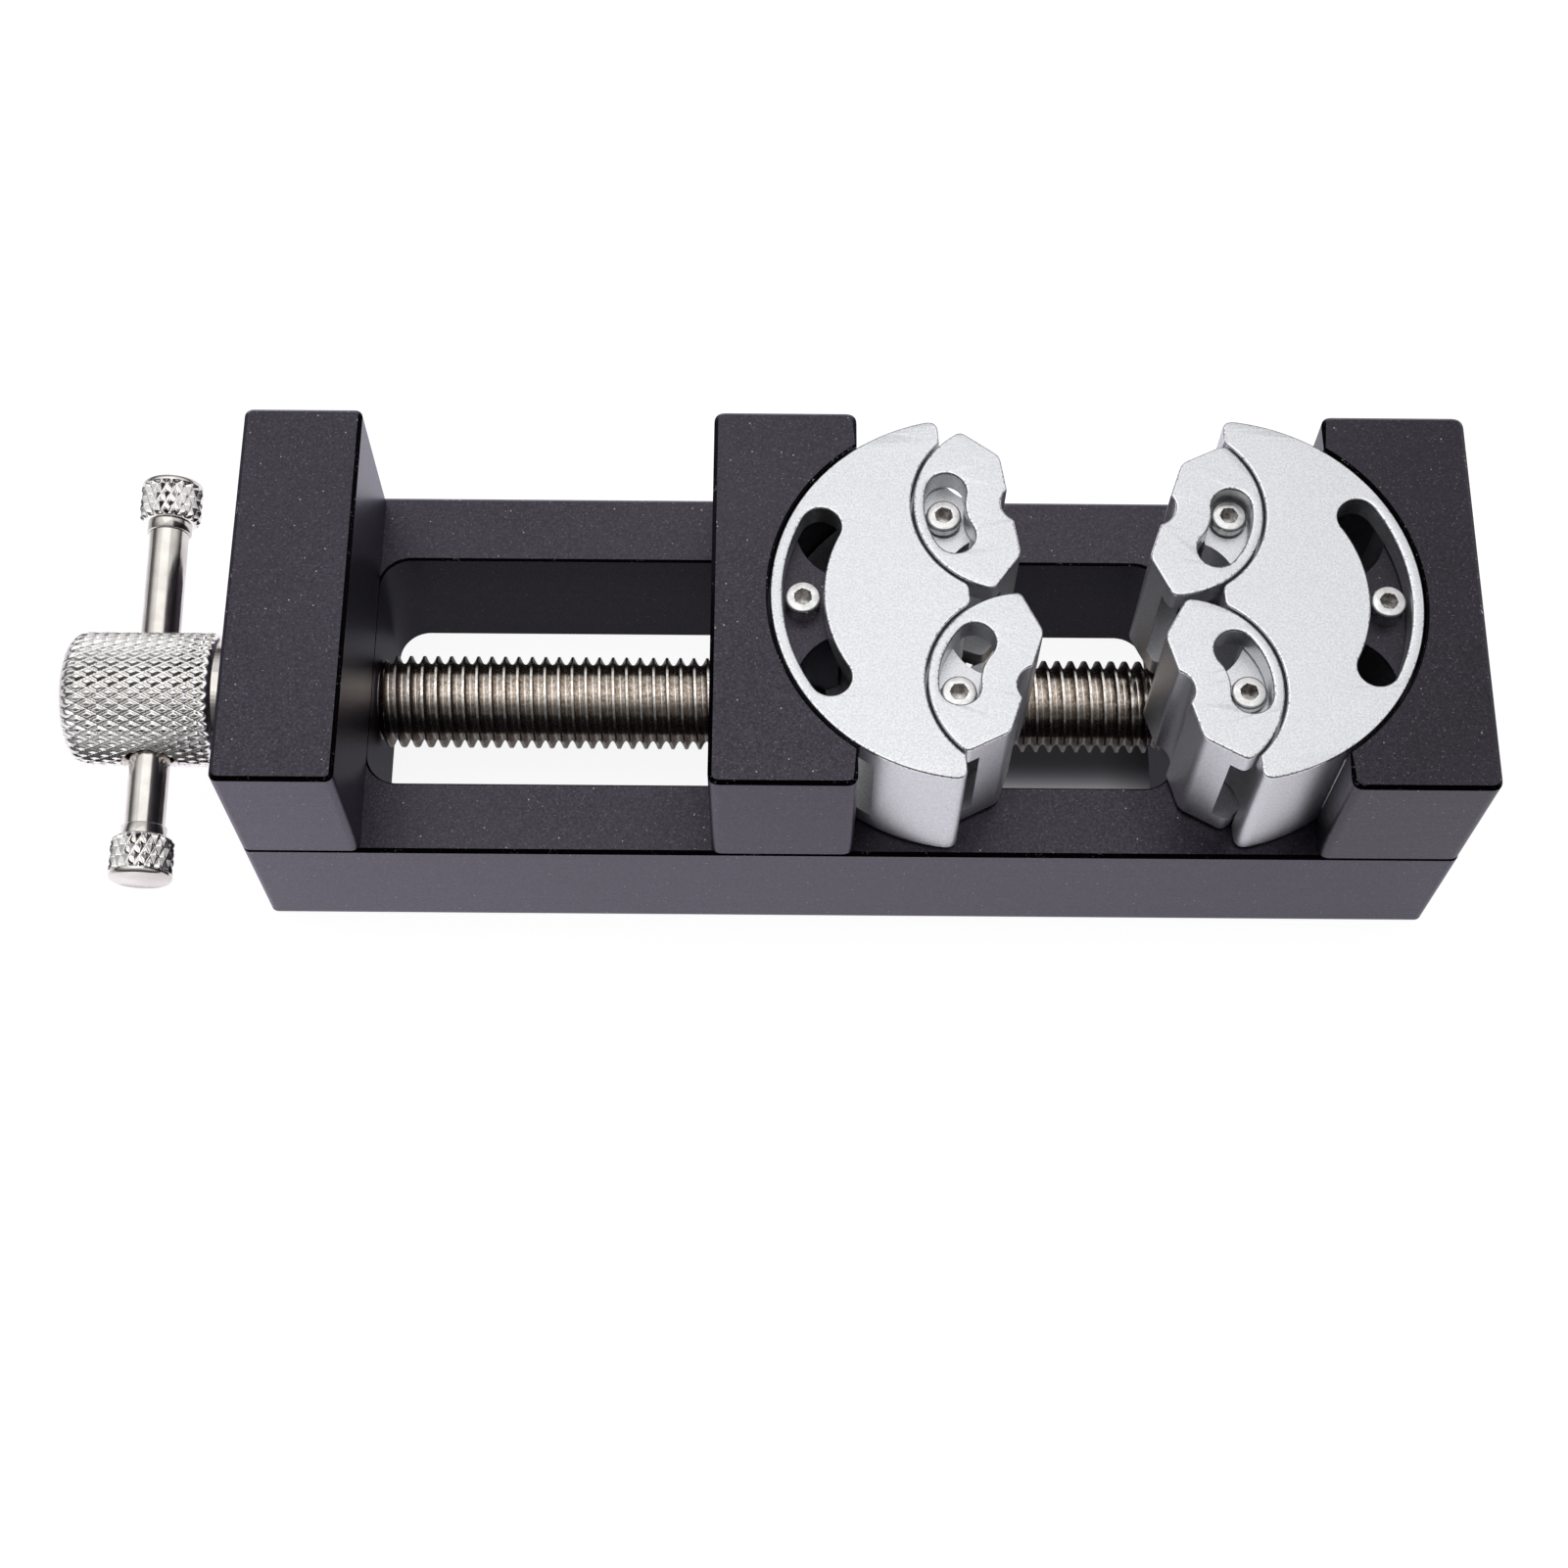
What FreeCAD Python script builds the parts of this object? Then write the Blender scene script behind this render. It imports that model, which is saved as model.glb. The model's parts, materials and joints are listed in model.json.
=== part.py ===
import FreeCAD, Part
import Sketcher
import math
import os
import re

# A small bench vise whose two crescents turn in round seats and carry four small jaws in seats of their own.
# Origin: centre of the bar's underside. +X runs to the fixed jaw, the handle is at -X, +Z is up. Millimetres.

# A size is a number, or a formula of sizes that stand before it.
SIZES = [
    # The bar and the blocks on it
    ("base_length", 150.0),
    ("base_width", 50.0),
    ("deck_height", 21.2),
    ("block_rise", 21.8),
    ("end_block_length", 14.5),
    ("jaw_block_length", 17.5),
    ("corner_round", 0.8),
    ("edge_break", 0.35),
    ("slot_length", 101.0),
    ("slot_width", 31.4),
    ("slot_corner", 4.0),
    ("rest_opening", 57.2),
    # The lead screw and its bearings
    ("screw_height", 11.5),
    ("thread_diameter", 11.9),
    ("thread_end_gap", 0.3),
    ("journal_diameter", 10.0),
    ("pilot_diameter", 8.0),
    ("pilot_length", 10.5),
    ("bush_wall", 1.6),
    ("bush_shoulder", 2.0),
    ("end_bush_length", 12.0),
    ("running_gap", 0.03),
    ("washer_thickness", 1.0),
    ("thrust_gap", 0.05),
    # The carriage under the moving block
    ("slide_gap", 0.15),
    ("deck_gap", 0.05),
    ("carriage_inset", 0.25),
    ("carriage_lift", 1.2),
    ("nut_diameter", 15.0),
    ("nut_flange_diameter", 18.0),
    ("nut_flange_thickness", 2.0),
    # The handle
    ("hub_diameter", 17.5),
    ("hub_length", 19.4),
    ("hub_round", 2.6),
    ("hub_standoff", 6.7),
    ("hub_socket", 4.3),
    ("neck_diameter", 15.8),
    ("bar_hole_inset", 10.85),
    ("bar_diameter", 5.2),
    ("bar_end_diameter", 4.0),
    ("bar_hole_gap", 0.3),
    ("bar_hole_break", 0.9),
    ("bar_length", 55.1),
    ("bar_shift", 2.95),
    ("cap_diameter", 8.15),
    ("cap_length", 7.2),
    ("cap_bore_depth", 5.0),
    ("cap_face_diameter", 6.8),
    ("cap_bevel", 0.4),
    ("cap_neck_diameter", 5.8),
    ("cap_neck_length", 1.4),
    ("handle_roll", 5.5),
    # The crescents and their seats in the blocks
    ("seat_radius", 24.6),
    ("seat_depth", 10.75),
    ("seat_offset", "seat_radius - seat_depth"),
    ("seat_gap", 0.3),
    ("floor_gap", 0.4),
    ("jaw_edge_break", 0.3),
    ("flange_thickness", 3.4),
    ("lug_side_gap", 0.25),
    ("groove_depth", 8.6),
    ("groove_floor_radius", "seat_radius - groove_depth"),
    ("groove_half_span", 57.4),
    ("arc_slot_inset", 4.25),
    ("arc_slot_radius", "seat_radius - arc_slot_inset"),
    ("arc_slot_half_span", 29.6),
    ("arc_slot_width", 4.9),
    ("tip_plane", 2.5),
    ("tip_round", 1.2),
    ("nose_plane", 0.4),
    ("nose_round", 0.7),
    ("lug_root_depth", 1.5),
    ("bite_radius", 7.2),
    ("bite_inset", 6.9),
    ("bite_distance", "seat_radius - bite_inset"),
    ("bite_angle", 37.5),
    # The small jaws and their seats in the crescents
    ("nest_allowance", 0.4),
    ("small_seat_radius", "(seat_radius - nest_allowance) / 2"),
    ("small_seat_setback", 1.0),
    ("small_seat_distance", "small_seat_radius + small_seat_setback"),
    ("small_seat_angle", 65.3),
    ("face_half_width", 6.9),
    ("face_corner_round", 0.35),
    ("notch_radius", 2.5),
    ("notch_depth", 1.15),
    ("small_groove_plane", 2.8),
    ("kidney_inset", 4.1),
    ("kidney_radius", "small_seat_radius - kidney_inset"),
    ("kidney_half_span", 22.3),
    ("kidney_width", 4.9),
    ("small_lug_reach", 5.0),
    ("small_lug_half_width", 3.0),
    ("small_lug_root_angle", 45.0),
    ("small_lug_flank", 6.55),
    # Cap screws: small ones in the lugs, large ones from beneath
    ("lug_screw_head", 4.3),
    ("lug_screw_head_height", 2.5),
    ("lug_screw_shank", 2.5),
    ("lug_screw_land", 4.1),
    ("lug_height", "block_rise - floor_gap - 2 * flange_thickness - 2 * lug_side_gap"),
    ("lug_screw_length", "(lug_height - lug_screw_land) / 2"),
    ("small_lug_sink", 0.85),
    ("large_screw_head", 7.0),
    ("large_screw_head_height", 4.0),
    ("large_screw_shank", 4.0),
    ("large_screw_length", 25.0),
    ("thread_fit", 0.02),
    ("clearance_fit", 0.2),
    ("screw_head_sink", 0.6),
    ("base_screw_spread", 32.0),
    ("block_screw_inset", 6.5),
    ("carriage_screw_spread", 21.0),
    ("carriage_screw_inset", 4.55),
    # How the jaws stand at rest, in degrees; a small jaw's turn is outward from its crescent's own axis
    ("left_crescent_turn", 3.4),
    ("right_crescent_turn", 2.35),
    ("left_far_turn", 6.1),
    ("left_near_turn", 21.4),
    ("right_far_turn", 21.45),
    ("right_near_turn", 13.85),
]

# Places that several pieces share, as formulas of the sizes above
FIXED_FACE = "(base_length / 2 - jaw_block_length)"
MOVING_FACE = f"({FIXED_FACE} - rest_opening)"
SLOT_START = "(end_block_length - base_length / 2)"
SLOT_END = f"({SLOT_START} + slot_length)"
HUB_START = "(-base_length / 2 - hub_standoff - hub_length)"
JAW_HEIGHT = "(block_rise - floor_gap)"
LUG_BOTTOM = "(flange_thickness + lug_side_gap)"
CRESCENT_RADIUS = "(seat_radius - seat_gap)"
SMALL_RADIUS = "(small_seat_radius - seat_gap)"
SEAT_X = "(small_seat_distance * cos(small_seat_angle))"
SEAT_Y = "(small_seat_distance * sin(small_seat_angle))"
# How far a large screw's tip stands above the face that its head is sunk in
SCREW_REACH = "(screw_head_sink + large_screw_head_height + large_screw_length)"
TOLERANCE = 1e-5

doc = FreeCAD.newDocument("Vise")
sheet = doc.addObject("Spreadsheet::Sheet", "Sizes")
for row, (size_name, size) in enumerate(SIZES, start=1):
    sheet.set(f"A{row}", f"={size}")
    sheet.setAlias(f"A{row}", size_name)
doc.recompute()


def formula(text):
    """Turns a formula of plain size names into one that reads the sheet."""
    return re.sub(r"[a-z]+(_[a-z]+)+", lambda found: "Sizes." + found.group(0), text)


def value(text):
    """The present value of a formula of plain size names."""
    return float(sheet.evalExpression(formula(text)))


def bind(thing, **formulas):
    """Ties properties of an object to the sheet; two underscores stand for a dot in the property's path."""
    for name, text in formulas.items():
        thing.setExpression(name.replace("__", "."), formula(text))


def new_body(label):
    body = doc.addObject("PartDesign::Body", label)
    body.Label = label
    return body


def plane(body, role):
    """One of the body's own origin planes or axes."""
    return [item for item in body.Origin.OriginFeatures if item.Role == role][0]


def new_sketch(body, role="XY_Plane", height="0"):
    sketch = body.newObject("Sketcher::SketchObject", "Sketch")
    sketch.AttachmentSupport = (plane(body, role), [""])
    sketch.MapMode = "FlatFace"
    bind(sketch, AttachmentOffset__Base__z=height)
    return sketch


def fix_point(sketch, edge, end, x, y):
    """Dimensions one point of an edge from the sketch's origin."""
    for kind, text in (("DistanceX", x), ("DistanceY", y)):
        rule = sketch.addConstraint(Sketcher.Constraint(kind, -1, 1, edge, end, value(text)))
        bind(sketch, **{f"Constraints[{rule}]": text})


def fix_radius(sketch, edge, radius):
    rule = sketch.addConstraint(Sketcher.Constraint("Radius", edge, value(radius)))
    bind(sketch, **{f"Constraints[{rule}]": radius})


def draw_circle(sketch, x, y, radius):
    centre = FreeCAD.Vector(value(x), value(y), 0)
    edge = sketch.addGeometry(Part.Circle(centre, FreeCAD.Vector(0, 0, 1), value(radius)), False)
    fix_point(sketch, edge, 3, x, y)
    fix_radius(sketch, edge, radius)


def arc_between(start, end, radius, left):
    """The short arc from start to end that bends to the left or to the right, always stored anticlockwise."""
    if not left:
        start, end = end, start
    chord = end - start
    rise = math.sqrt(radius ** 2 - (chord.Length / 2) ** 2)
    side = FreeCAD.Vector(-chord.y, chord.x, 0).normalize()
    centre = (start + end) * 0.5 + side * rise
    circle = Part.Circle(centre, FreeCAD.Vector(0, 0, 1), radius)
    first = math.atan2(start.y - centre.y, start.x - centre.x)
    last = math.atan2(end.y - centre.y, end.x - centre.x)
    return Part.ArcOfCircle(circle, first, last)


def draw_outline(sketch, corners):
    """Draws a closed outline. A corner is (x, y), or (x, y, bend, radius) when an arc leads on from it."""
    points = [FreeCAD.Vector(value(corner[0]), value(corner[1]), 0) for corner in corners]
    starts = []
    for index, corner in enumerate(corners):
        start = points[index]
        end = points[(index + 1) % len(points)]
        if len(corner) == 2:
            edge = sketch.addGeometry(Part.LineSegment(start, end), False)
            starts.append((edge, 1, 2))
        else:
            left = corner[2] == "left"
            edge = sketch.addGeometry(arc_between(start, end, value(corner[3]), left), False)
            starts.append((edge, 1, 2) if left else (edge, 2, 1))
    for index, (edge, first, last) in enumerate(starts):
        follower, follower_first, _ = starts[(index + 1) % len(starts)]
        sketch.addConstraint(Sketcher.Constraint("Coincident", edge, last, follower, follower_first))
        fix_point(sketch, edge, first, corners[index][0], corners[index][1])
        if len(corners[index]) == 4:
            fix_radius(sketch, edge, corners[index][3])


def draw_box(sketch, low_x, high_x, low_y, high_y):
    draw_outline(sketch, [(low_x, low_y), (high_x, low_y), (high_x, high_y), (low_x, high_y)])


def draw_arc_slot(sketch, centre_radius, half_span, width):
    """A slot bent round the origin on the -X side, drawn with its round ends in two quarters each."""
    def ring(radius, angle, sign):
        return (f"(-{radius} * cos({angle}))", f"({sign} * {radius} * sin({angle}))")

    outer = f"({centre_radius} + {width} / 2)"
    inner = f"({centre_radius} - {width} / 2)"
    half = f"({width} / 2)"

    def end_tip(sign):
        x = f"(-{centre_radius} * cos({half_span}) + {half} * sin({half_span}))"
        y = f"({sign} * ({centre_radius} * sin({half_span}) + {half} * cos({half_span})))"
        return (x, y)

    draw_outline(sketch, [
        ring(outer, half_span, 1) + ("left", outer),
        ring(outer, half_span, -1) + ("left", half),
        end_tip(-1) + ("left", half),
        ring(inner, half_span, -1) + ("right", inner),
        ring(inner, half_span, 1) + ("left", half),
        end_tip(1) + ("left", half),
    ])


def pad(body, sketch, length):
    feature = body.newObject("PartDesign::Pad", "Pad")
    feature.Profile = sketch
    bind(feature, Length=length)
    doc.recompute()
    return feature


def cut(body, kind, set_up):
    """Adds a feature that takes material away, and makes sure that it did."""
    before = body.Shape.Volume
    feature = body.newObject(f"PartDesign::{kind}", kind)
    set_up(feature)
    doc.recompute()
    if body.Shape.Volume > before - 1e-3:
        raise RuntimeError(f"{body.Label}: {feature.Name} cuts nothing")
    return feature


def pocket(body, sketch, length=None, upward=False):
    """A pocket of the given depth, or right through; downward from its sketch unless upward is set."""
    def set_up(feature):
        feature.Profile = sketch
        feature.Reversed = upward
        if length is None:
            feature.Type = "ThroughAll"
        else:
            bind(feature, Length=length)
    return cut(body, "Pocket", set_up)


def revolve(body, corners, axis):
    """A turned piece from its half profile, about the sketch's own horizontal or vertical axis."""
    sketch = new_sketch(body)
    draw_outline(sketch, corners)
    feature = body.newObject("PartDesign::Revolution", "Revolution")
    feature.Profile = sketch
    feature.ReferenceAxis = (sketch, [axis])
    feature.Angle = 360
    doc.recompute()
    return feature


def dress(body, kind, size, wanted):
    """Chamfers or fillets the edges of the body that the test wants."""
    tip = body.Tip
    names = [f"Edge{index}" for index, edge in enumerate(tip.Shape.Edges, start=1) if wanted(edge)]
    feature = body.newObject(f"PartDesign::{kind}", kind)
    feature.Base = (tip, names)
    bind(feature, **{"Radius" if kind == "Fillet" else "Size": size})
    doc.recompute()
    return feature


def is_upright(edge):
    box = edge.BoundBox
    return box.XLength < TOLERANCE and box.YLength < TOLERANCE


def is_level(edge, height):
    box = edge.BoundBox
    return abs(box.ZMin - height) < TOLERANCE and abs(box.ZMax - height) < TOLERANCE


def stands_at(edge, places):
    """Whether an upright edge stands at one of the places, given as (x, y) formulas."""
    middle = edge.BoundBox.Center
    return is_upright(edge) and any(
        abs(middle.x - value(x)) < 1e-3 and abs(middle.y - value(y)) < 1e-3 for x, y in places)


def place(thing, x="0", y="0", z="0", axis=FreeCAD.Vector(0, 0, 1), angle="0"):
    thing.Placement = FreeCAD.Placement(FreeCAD.Vector(), FreeCAD.Rotation(axis, 1))
    bind(thing, Placement__Base__x=x, Placement__Base__y=y, Placement__Base__z=z,
         Placement__Rotation__Angle=angle)


def make_base_frame():
    body = new_body("base_frame")
    sketch = new_sketch(body)
    draw_box(sketch, "-base_length / 2", "base_length / 2", "-base_width / 2", "base_width / 2")
    pad(body, sketch, "deck_height")
    dress(body, "Fillet", "corner_round", is_upright)
    slot = new_sketch(body)
    draw_box(slot, SLOT_START, SLOT_END, "-slot_width / 2", "slot_width / 2")
    pocket(body, slot, upward=True)
    slot_corners = [(x, f"{sign} * slot_width / 2") for x in (SLOT_START, SLOT_END) for sign in (1, -1)]
    dress(body, "Fillet", "slot_corner", lambda edge: stands_at(edge, slot_corners))
    # The stepped bore for the spindle bush and the journal, and the blind one for the end bush
    for x, radius, length in (
            ("-base_length / 2", "journal_diameter / 2 + running_gap + bush_wall",
             "end_block_length - bush_shoulder"),
            (f"{SLOT_START} - bush_shoulder", "journal_diameter / 2 + running_gap", "bush_shoulder"),
            (SLOT_END, "pilot_diameter / 2 + running_gap + bush_wall", "end_bush_length")):
        bore = new_sketch(body, "YZ_Plane", x)
        draw_circle(bore, "0", "screw_height", radius)
        pocket(body, bore, length, upward=True)
    # Stepped holes from beneath for the screws of the two fixed blocks
    for radius, depth in (
            ("large_screw_shank / 2 + clearance_fit", None),
            ("large_screw_head / 2 + clearance_fit", "screw_head_sink + large_screw_head_height")):
        holes = new_sketch(body)
        for x in ("(end_block_length - base_length) / 2", "base_length / 2 - block_screw_inset"):
            for sign in (1, -1):
                draw_circle(holes, x, f"{sign} * base_screw_spread / 2", radius)
        pocket(body, holes, depth, upward=True)
    dress(body, "Chamfer", "edge_break", lambda edge: is_level(edge, 0) or is_level(edge, value("deck_height")))
    return body


def make_block(label, length, height):
    """A plain block with broken edges, its inner face on the plane X = 0 and its body towards -X."""
    body = new_body(label)
    sketch = new_sketch(body)
    draw_box(sketch, f"-{length}", "0", "-base_width / 2", "base_width / 2")
    pad(body, sketch, height)
    return body


def tap_holes(body, places, depth):
    """Holes in a block's underside that the large screws are threaded into."""
    holes = new_sketch(body)
    for x, y in places:
        draw_circle(holes, x, y, "large_screw_shank / 2 + thread_fit")
    pocket(body, holes, depth, upward=True)


def break_block_edges(body, height):
    dress(body, "Chamfer", "edge_break", lambda edge: (
        is_level(edge, value(height)) or (is_level(edge, 0) and edge.BoundBox.DiagonalLength > 9)))


def make_end_block():
    body = make_block("end_block", "end_block_length", "block_rise")
    dress(body, "Fillet", "corner_round", is_upright)
    screws = [("-end_block_length / 2", f"{sign} * base_screw_spread / 2") for sign in (1, -1)]
    tap_holes(body, screws, f"{SCREW_REACH} - deck_height")
    break_block_edges(body, "block_rise")
    place(body, x=SLOT_START, z="deck_height")
    return body


def make_jaw_block(label, height, lug_base, screws, screw_depth):
    """A block with a round seat across its inner face and the lug that holds the crescent in the seat."""
    body = make_block(label, "jaw_block_length", height)
    dress(body, "Fillet", "corner_round", is_upright)
    seat = new_sketch(body)
    draw_circle(seat, "seat_offset", "0", "seat_radius")
    pocket(body, seat, upward=True)
    # The lug: two round bites leave a waist that ends in a nose, just short of the groove's floor
    crossing = ("(bite_angle - acos((seat_radius * seat_radius + bite_distance * bite_distance"
                " - bite_radius * bite_radius) / (2 * seat_radius * bite_distance)) / 1deg)")
    nose_radius = "(groove_floor_radius + seat_gap)"
    nose_angle = (f"(bite_angle - acos(({nose_radius} * {nose_radius} + bite_distance * bite_distance"
                  f" - bite_radius * bite_radius) / (2 * {nose_radius} * bite_distance)) / 1deg)")
    root_x = "(seat_offset - seat_radius - lug_root_depth)"

    def seat_point(radius, angle, sign):
        return (f"(seat_offset - {radius} * cos({angle}))", f"({sign} * {radius} * sin({angle}))")

    lug = new_sketch(body, height=lug_base)
    draw_outline(lug, [
        seat_point(nose_radius, nose_angle, 1) + ("left", nose_radius),
        seat_point(nose_radius, nose_angle, -1) + ("left", "bite_radius"),
        seat_point("seat_radius", crossing, -1),
        (root_x, seat_point("seat_radius", crossing, -1)[1]),
        (root_x, seat_point("seat_radius", crossing, 1)[1]),
        seat_point("seat_radius", crossing, 1) + ("left", "bite_radius"),
    ])
    pad(body, lug, "lug_height")
    tap_holes(body, screws, screw_depth)
    break_block_edges(body, height)
    for start, upward in ((f"{lug_base} + lug_height", False), (lug_base, True)):
        hole = new_sketch(body, height=start)
        draw_circle(hole, "seat_offset - arc_slot_radius", "0", "lug_screw_shank / 2 + thread_fit")
        pocket(body, hole, "lug_screw_length", upward)
    return body


def make_fixed_jaw_block():
    screws = [("block_screw_inset - jaw_block_length", f"{sign} * base_screw_spread / 2") for sign in (1, -1)]
    body = make_jaw_block("fixed_jaw_block", "block_rise", f"(floor_gap + {LUG_BOTTOM})", screws,
                          f"{SCREW_REACH} - deck_height")
    place(body, x=FIXED_FACE, z="deck_height", angle="180")
    return body


def make_moving_jaw_block():
    screw_x = "carriage_screw_inset - jaw_block_length"
    screws = [(screw_x, f"{sign} * carriage_screw_spread / 2") for sign in (1, -1)]
    body = make_jaw_block("moving_jaw_block", "(block_rise - deck_gap)",
                          f"(floor_gap - deck_gap + {LUG_BOTTOM})", screws,
                          f"{SCREW_REACH} + carriage_lift - deck_height - deck_gap")
    place(body, x=MOVING_FACE, z="deck_height + deck_gap")
    return body


def make_carriage():
    """The guide between the slot's walls, bored for the nut and stepped for its screws."""
    body = new_body("carriage")
    sketch = new_sketch(body)
    half_width = "(slot_width / 2 - slide_gap)"
    draw_box(sketch, "carriage_inset - jaw_block_length", "-carriage_inset", f"-{half_width}", half_width)
    height = "(deck_height + deck_gap - carriage_lift)"
    pad(body, sketch, height)
    dress(body, "Fillet", "slot_corner", is_upright)
    for x, radius, length in (
            ("-jaw_block_length", "nut_diameter / 2 + thread_fit", "jaw_block_length"),
            ("-carriage_inset - nut_flange_thickness", "nut_flange_diameter / 2 + thread_fit",
             "nut_flange_thickness")):
        bore = new_sketch(body, "YZ_Plane", x)
        draw_circle(bore, "0", "screw_height - carriage_lift", radius)
        pocket(body, bore, length, upward=True)
    for radius, depth in (
            ("large_screw_shank / 2 + clearance_fit", None),
            ("large_screw_head / 2 + clearance_fit", "screw_head_sink + large_screw_head_height")):
        holes = new_sketch(body)
        screw_x = "carriage_screw_inset - jaw_block_length"
        for sign in (1, -1):
            draw_circle(holes, screw_x, f"{sign} * carriage_screw_spread / 2", radius)
        pocket(body, holes, depth, upward=True)
    place(body, x=MOVING_FACE, z="carriage_lift")
    return body


def make_turned(label, corners, x):
    """A piece turned about the screw's axis, from a half profile of (along, radius) corners."""
    body = new_body(label)
    revolve(body, corners, "H_Axis")
    place(body, x=x, z="screw_height")
    return body


def make_tube(label, length, inner, outer, x):
    return make_turned(label, [("0", inner), (length, inner), (length, outer), ("0", outer)], x)


def make_lead_nut():
    bore = "(thread_diameter / 2 + running_gap)"
    length = "(jaw_block_length - 2 * carriage_inset)"
    flange_start = f"({length} - nut_flange_thickness)"
    return make_turned("lead_nut", [
        ("0", bore),
        (length, bore),
        (length, "nut_flange_diameter / 2"),
        (flange_start, "nut_flange_diameter / 2"),
        (flange_start, "nut_diameter / 2"),
        ("0", "nut_diameter / 2"),
    ], f"{MOVING_FACE} - jaw_block_length + carriage_inset")


def make_lead_screw():
    """Journal, threaded length and pilot, with the thread's outside as a plain cylinder."""
    shoulder = "(hub_socket + hub_standoff + end_block_length + thrust_gap)"
    thread_end = f"({shoulder} + slot_length - thrust_gap - thread_end_gap)"
    return make_turned("lead_screw", [
        ("0", "0"),
        (f"{thread_end} + pilot_length", "0"),
        (f"{thread_end} + pilot_length", "pilot_diameter / 2"),
        (thread_end, "pilot_diameter / 2"),
        (thread_end, "thread_diameter / 2"),
        (shoulder, "thread_diameter / 2"),
        (shoulder, "journal_diameter / 2"),
        ("0", "journal_diameter / 2"),
    ], "-base_length / 2 - hub_standoff - hub_socket")


def make_handle_hub():
    """The head: a rounded outer end, a neck, a socket for the journal and a broken-edged cross hole."""
    body = new_body("handle_hub")
    neck_end = "(hub_length + hub_standoff - washer_thickness - 2 * thrust_gap)"
    socket = "(journal_diameter / 2 + thread_fit)"
    revolve(body, [
        ("0", "0"),
        ("hub_length - hub_socket", "0"),
        ("hub_length - hub_socket", socket),
        (neck_end, socket),
        (neck_end, "neck_diameter / 2"),
        ("hub_length", "neck_diameter / 2"),
        ("hub_length", "hub_diameter / 2 - edge_break"),
        ("hub_length - edge_break", "hub_diameter / 2"),
        ("hub_round", "hub_diameter / 2", "left", "hub_round"),
        ("0", "hub_diameter / 2 - hub_round"),
    ], "H_Axis")
    hole = new_sketch(body, "XZ_Plane", "-hub_diameter")
    draw_circle(hole, "bar_hole_inset", "0", "bar_diameter / 2 + bar_hole_gap")
    pocket(body, hole, upward=True)
    rim = value("bar_diameter / 2 + bar_hole_gap")
    dress(body, "Chamfer", "bar_hole_break", lambda edge: (
        abs(edge.BoundBox.XLength - 2 * rim) < 0.01 and abs(edge.BoundBox.ZLength - 2 * rim) < 0.01))
    place(body, x=HUB_START, z="screw_height", axis=FreeCAD.Vector(1, 0, 0), angle="handle_roll")
    return body


def make_bar_piece(label, corners, along):
    """A piece turned about the handle bar's axis, which rises to the far side by the handle's roll."""
    body = new_body(label)
    revolve(body, corners, "V_Axis")
    place(body, x=f"{HUB_START} + bar_hole_inset", y=f"({along}) * cos(handle_roll)",
          z=f"screw_height + ({along}) * sin(handle_roll)", axis=FreeCAD.Vector(1, 0, 0), angle="handle_roll")
    return body


def make_handle_bar():
    """The bar, turned down at both ends to fit the caps."""
    length = "(bar_length - 2 * (cap_length - cap_bore_depth))"
    break_radius = "(bar_end_diameter / 2 - edge_break)"
    return make_bar_piece("handle_bar", [
        ("0", "0"),
        (break_radius, "0"),
        ("bar_end_diameter / 2", "edge_break"),
        ("bar_end_diameter / 2", "cap_bore_depth"),
        ("bar_diameter / 2", "cap_bore_depth"),
        ("bar_diameter / 2", f"{length} - cap_bore_depth"),
        ("bar_end_diameter / 2", f"{length} - cap_bore_depth"),
        ("bar_end_diameter / 2", f"{length} - edge_break"),
        (break_radius, length),
        ("0", length),
    ], f"bar_shift - {length} / 2")


def make_handle_cap(label, sign):
    """An end cap: a flat end with a bevel, a barrel, a shoulder, a neck and a blind bore for the bar's end."""
    bore = "(bar_end_diameter / 2 + thread_fit)"

    def at(distance):
        """A distance from the cap's outer face, measured towards the head."""
        return f"(-{sign}) * ({distance})"

    return make_bar_piece(label, [
        ("0", at("0")),
        ("cap_face_diameter / 2", at("0")),
        ("cap_diameter / 2", at("cap_bevel")),
        ("cap_diameter / 2", at("cap_length - cap_neck_length - edge_break")),
        ("cap_neck_diameter / 2", at("cap_length - cap_neck_length")),
        ("cap_neck_diameter / 2", at("cap_length")),
        (bore, at("cap_length")),
        (bore, at("cap_length - cap_bore_depth")),
        ("0", at("cap_length - cap_bore_depth")),
    ], f"bar_shift + {sign} * bar_length / 2")


def break_jaw_edges(body):
    dress(body, "Chamfer", "jaw_edge_break",
          lambda edge: is_level(edge, 0) or is_level(edge, value(JAW_HEIGHT)))


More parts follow.
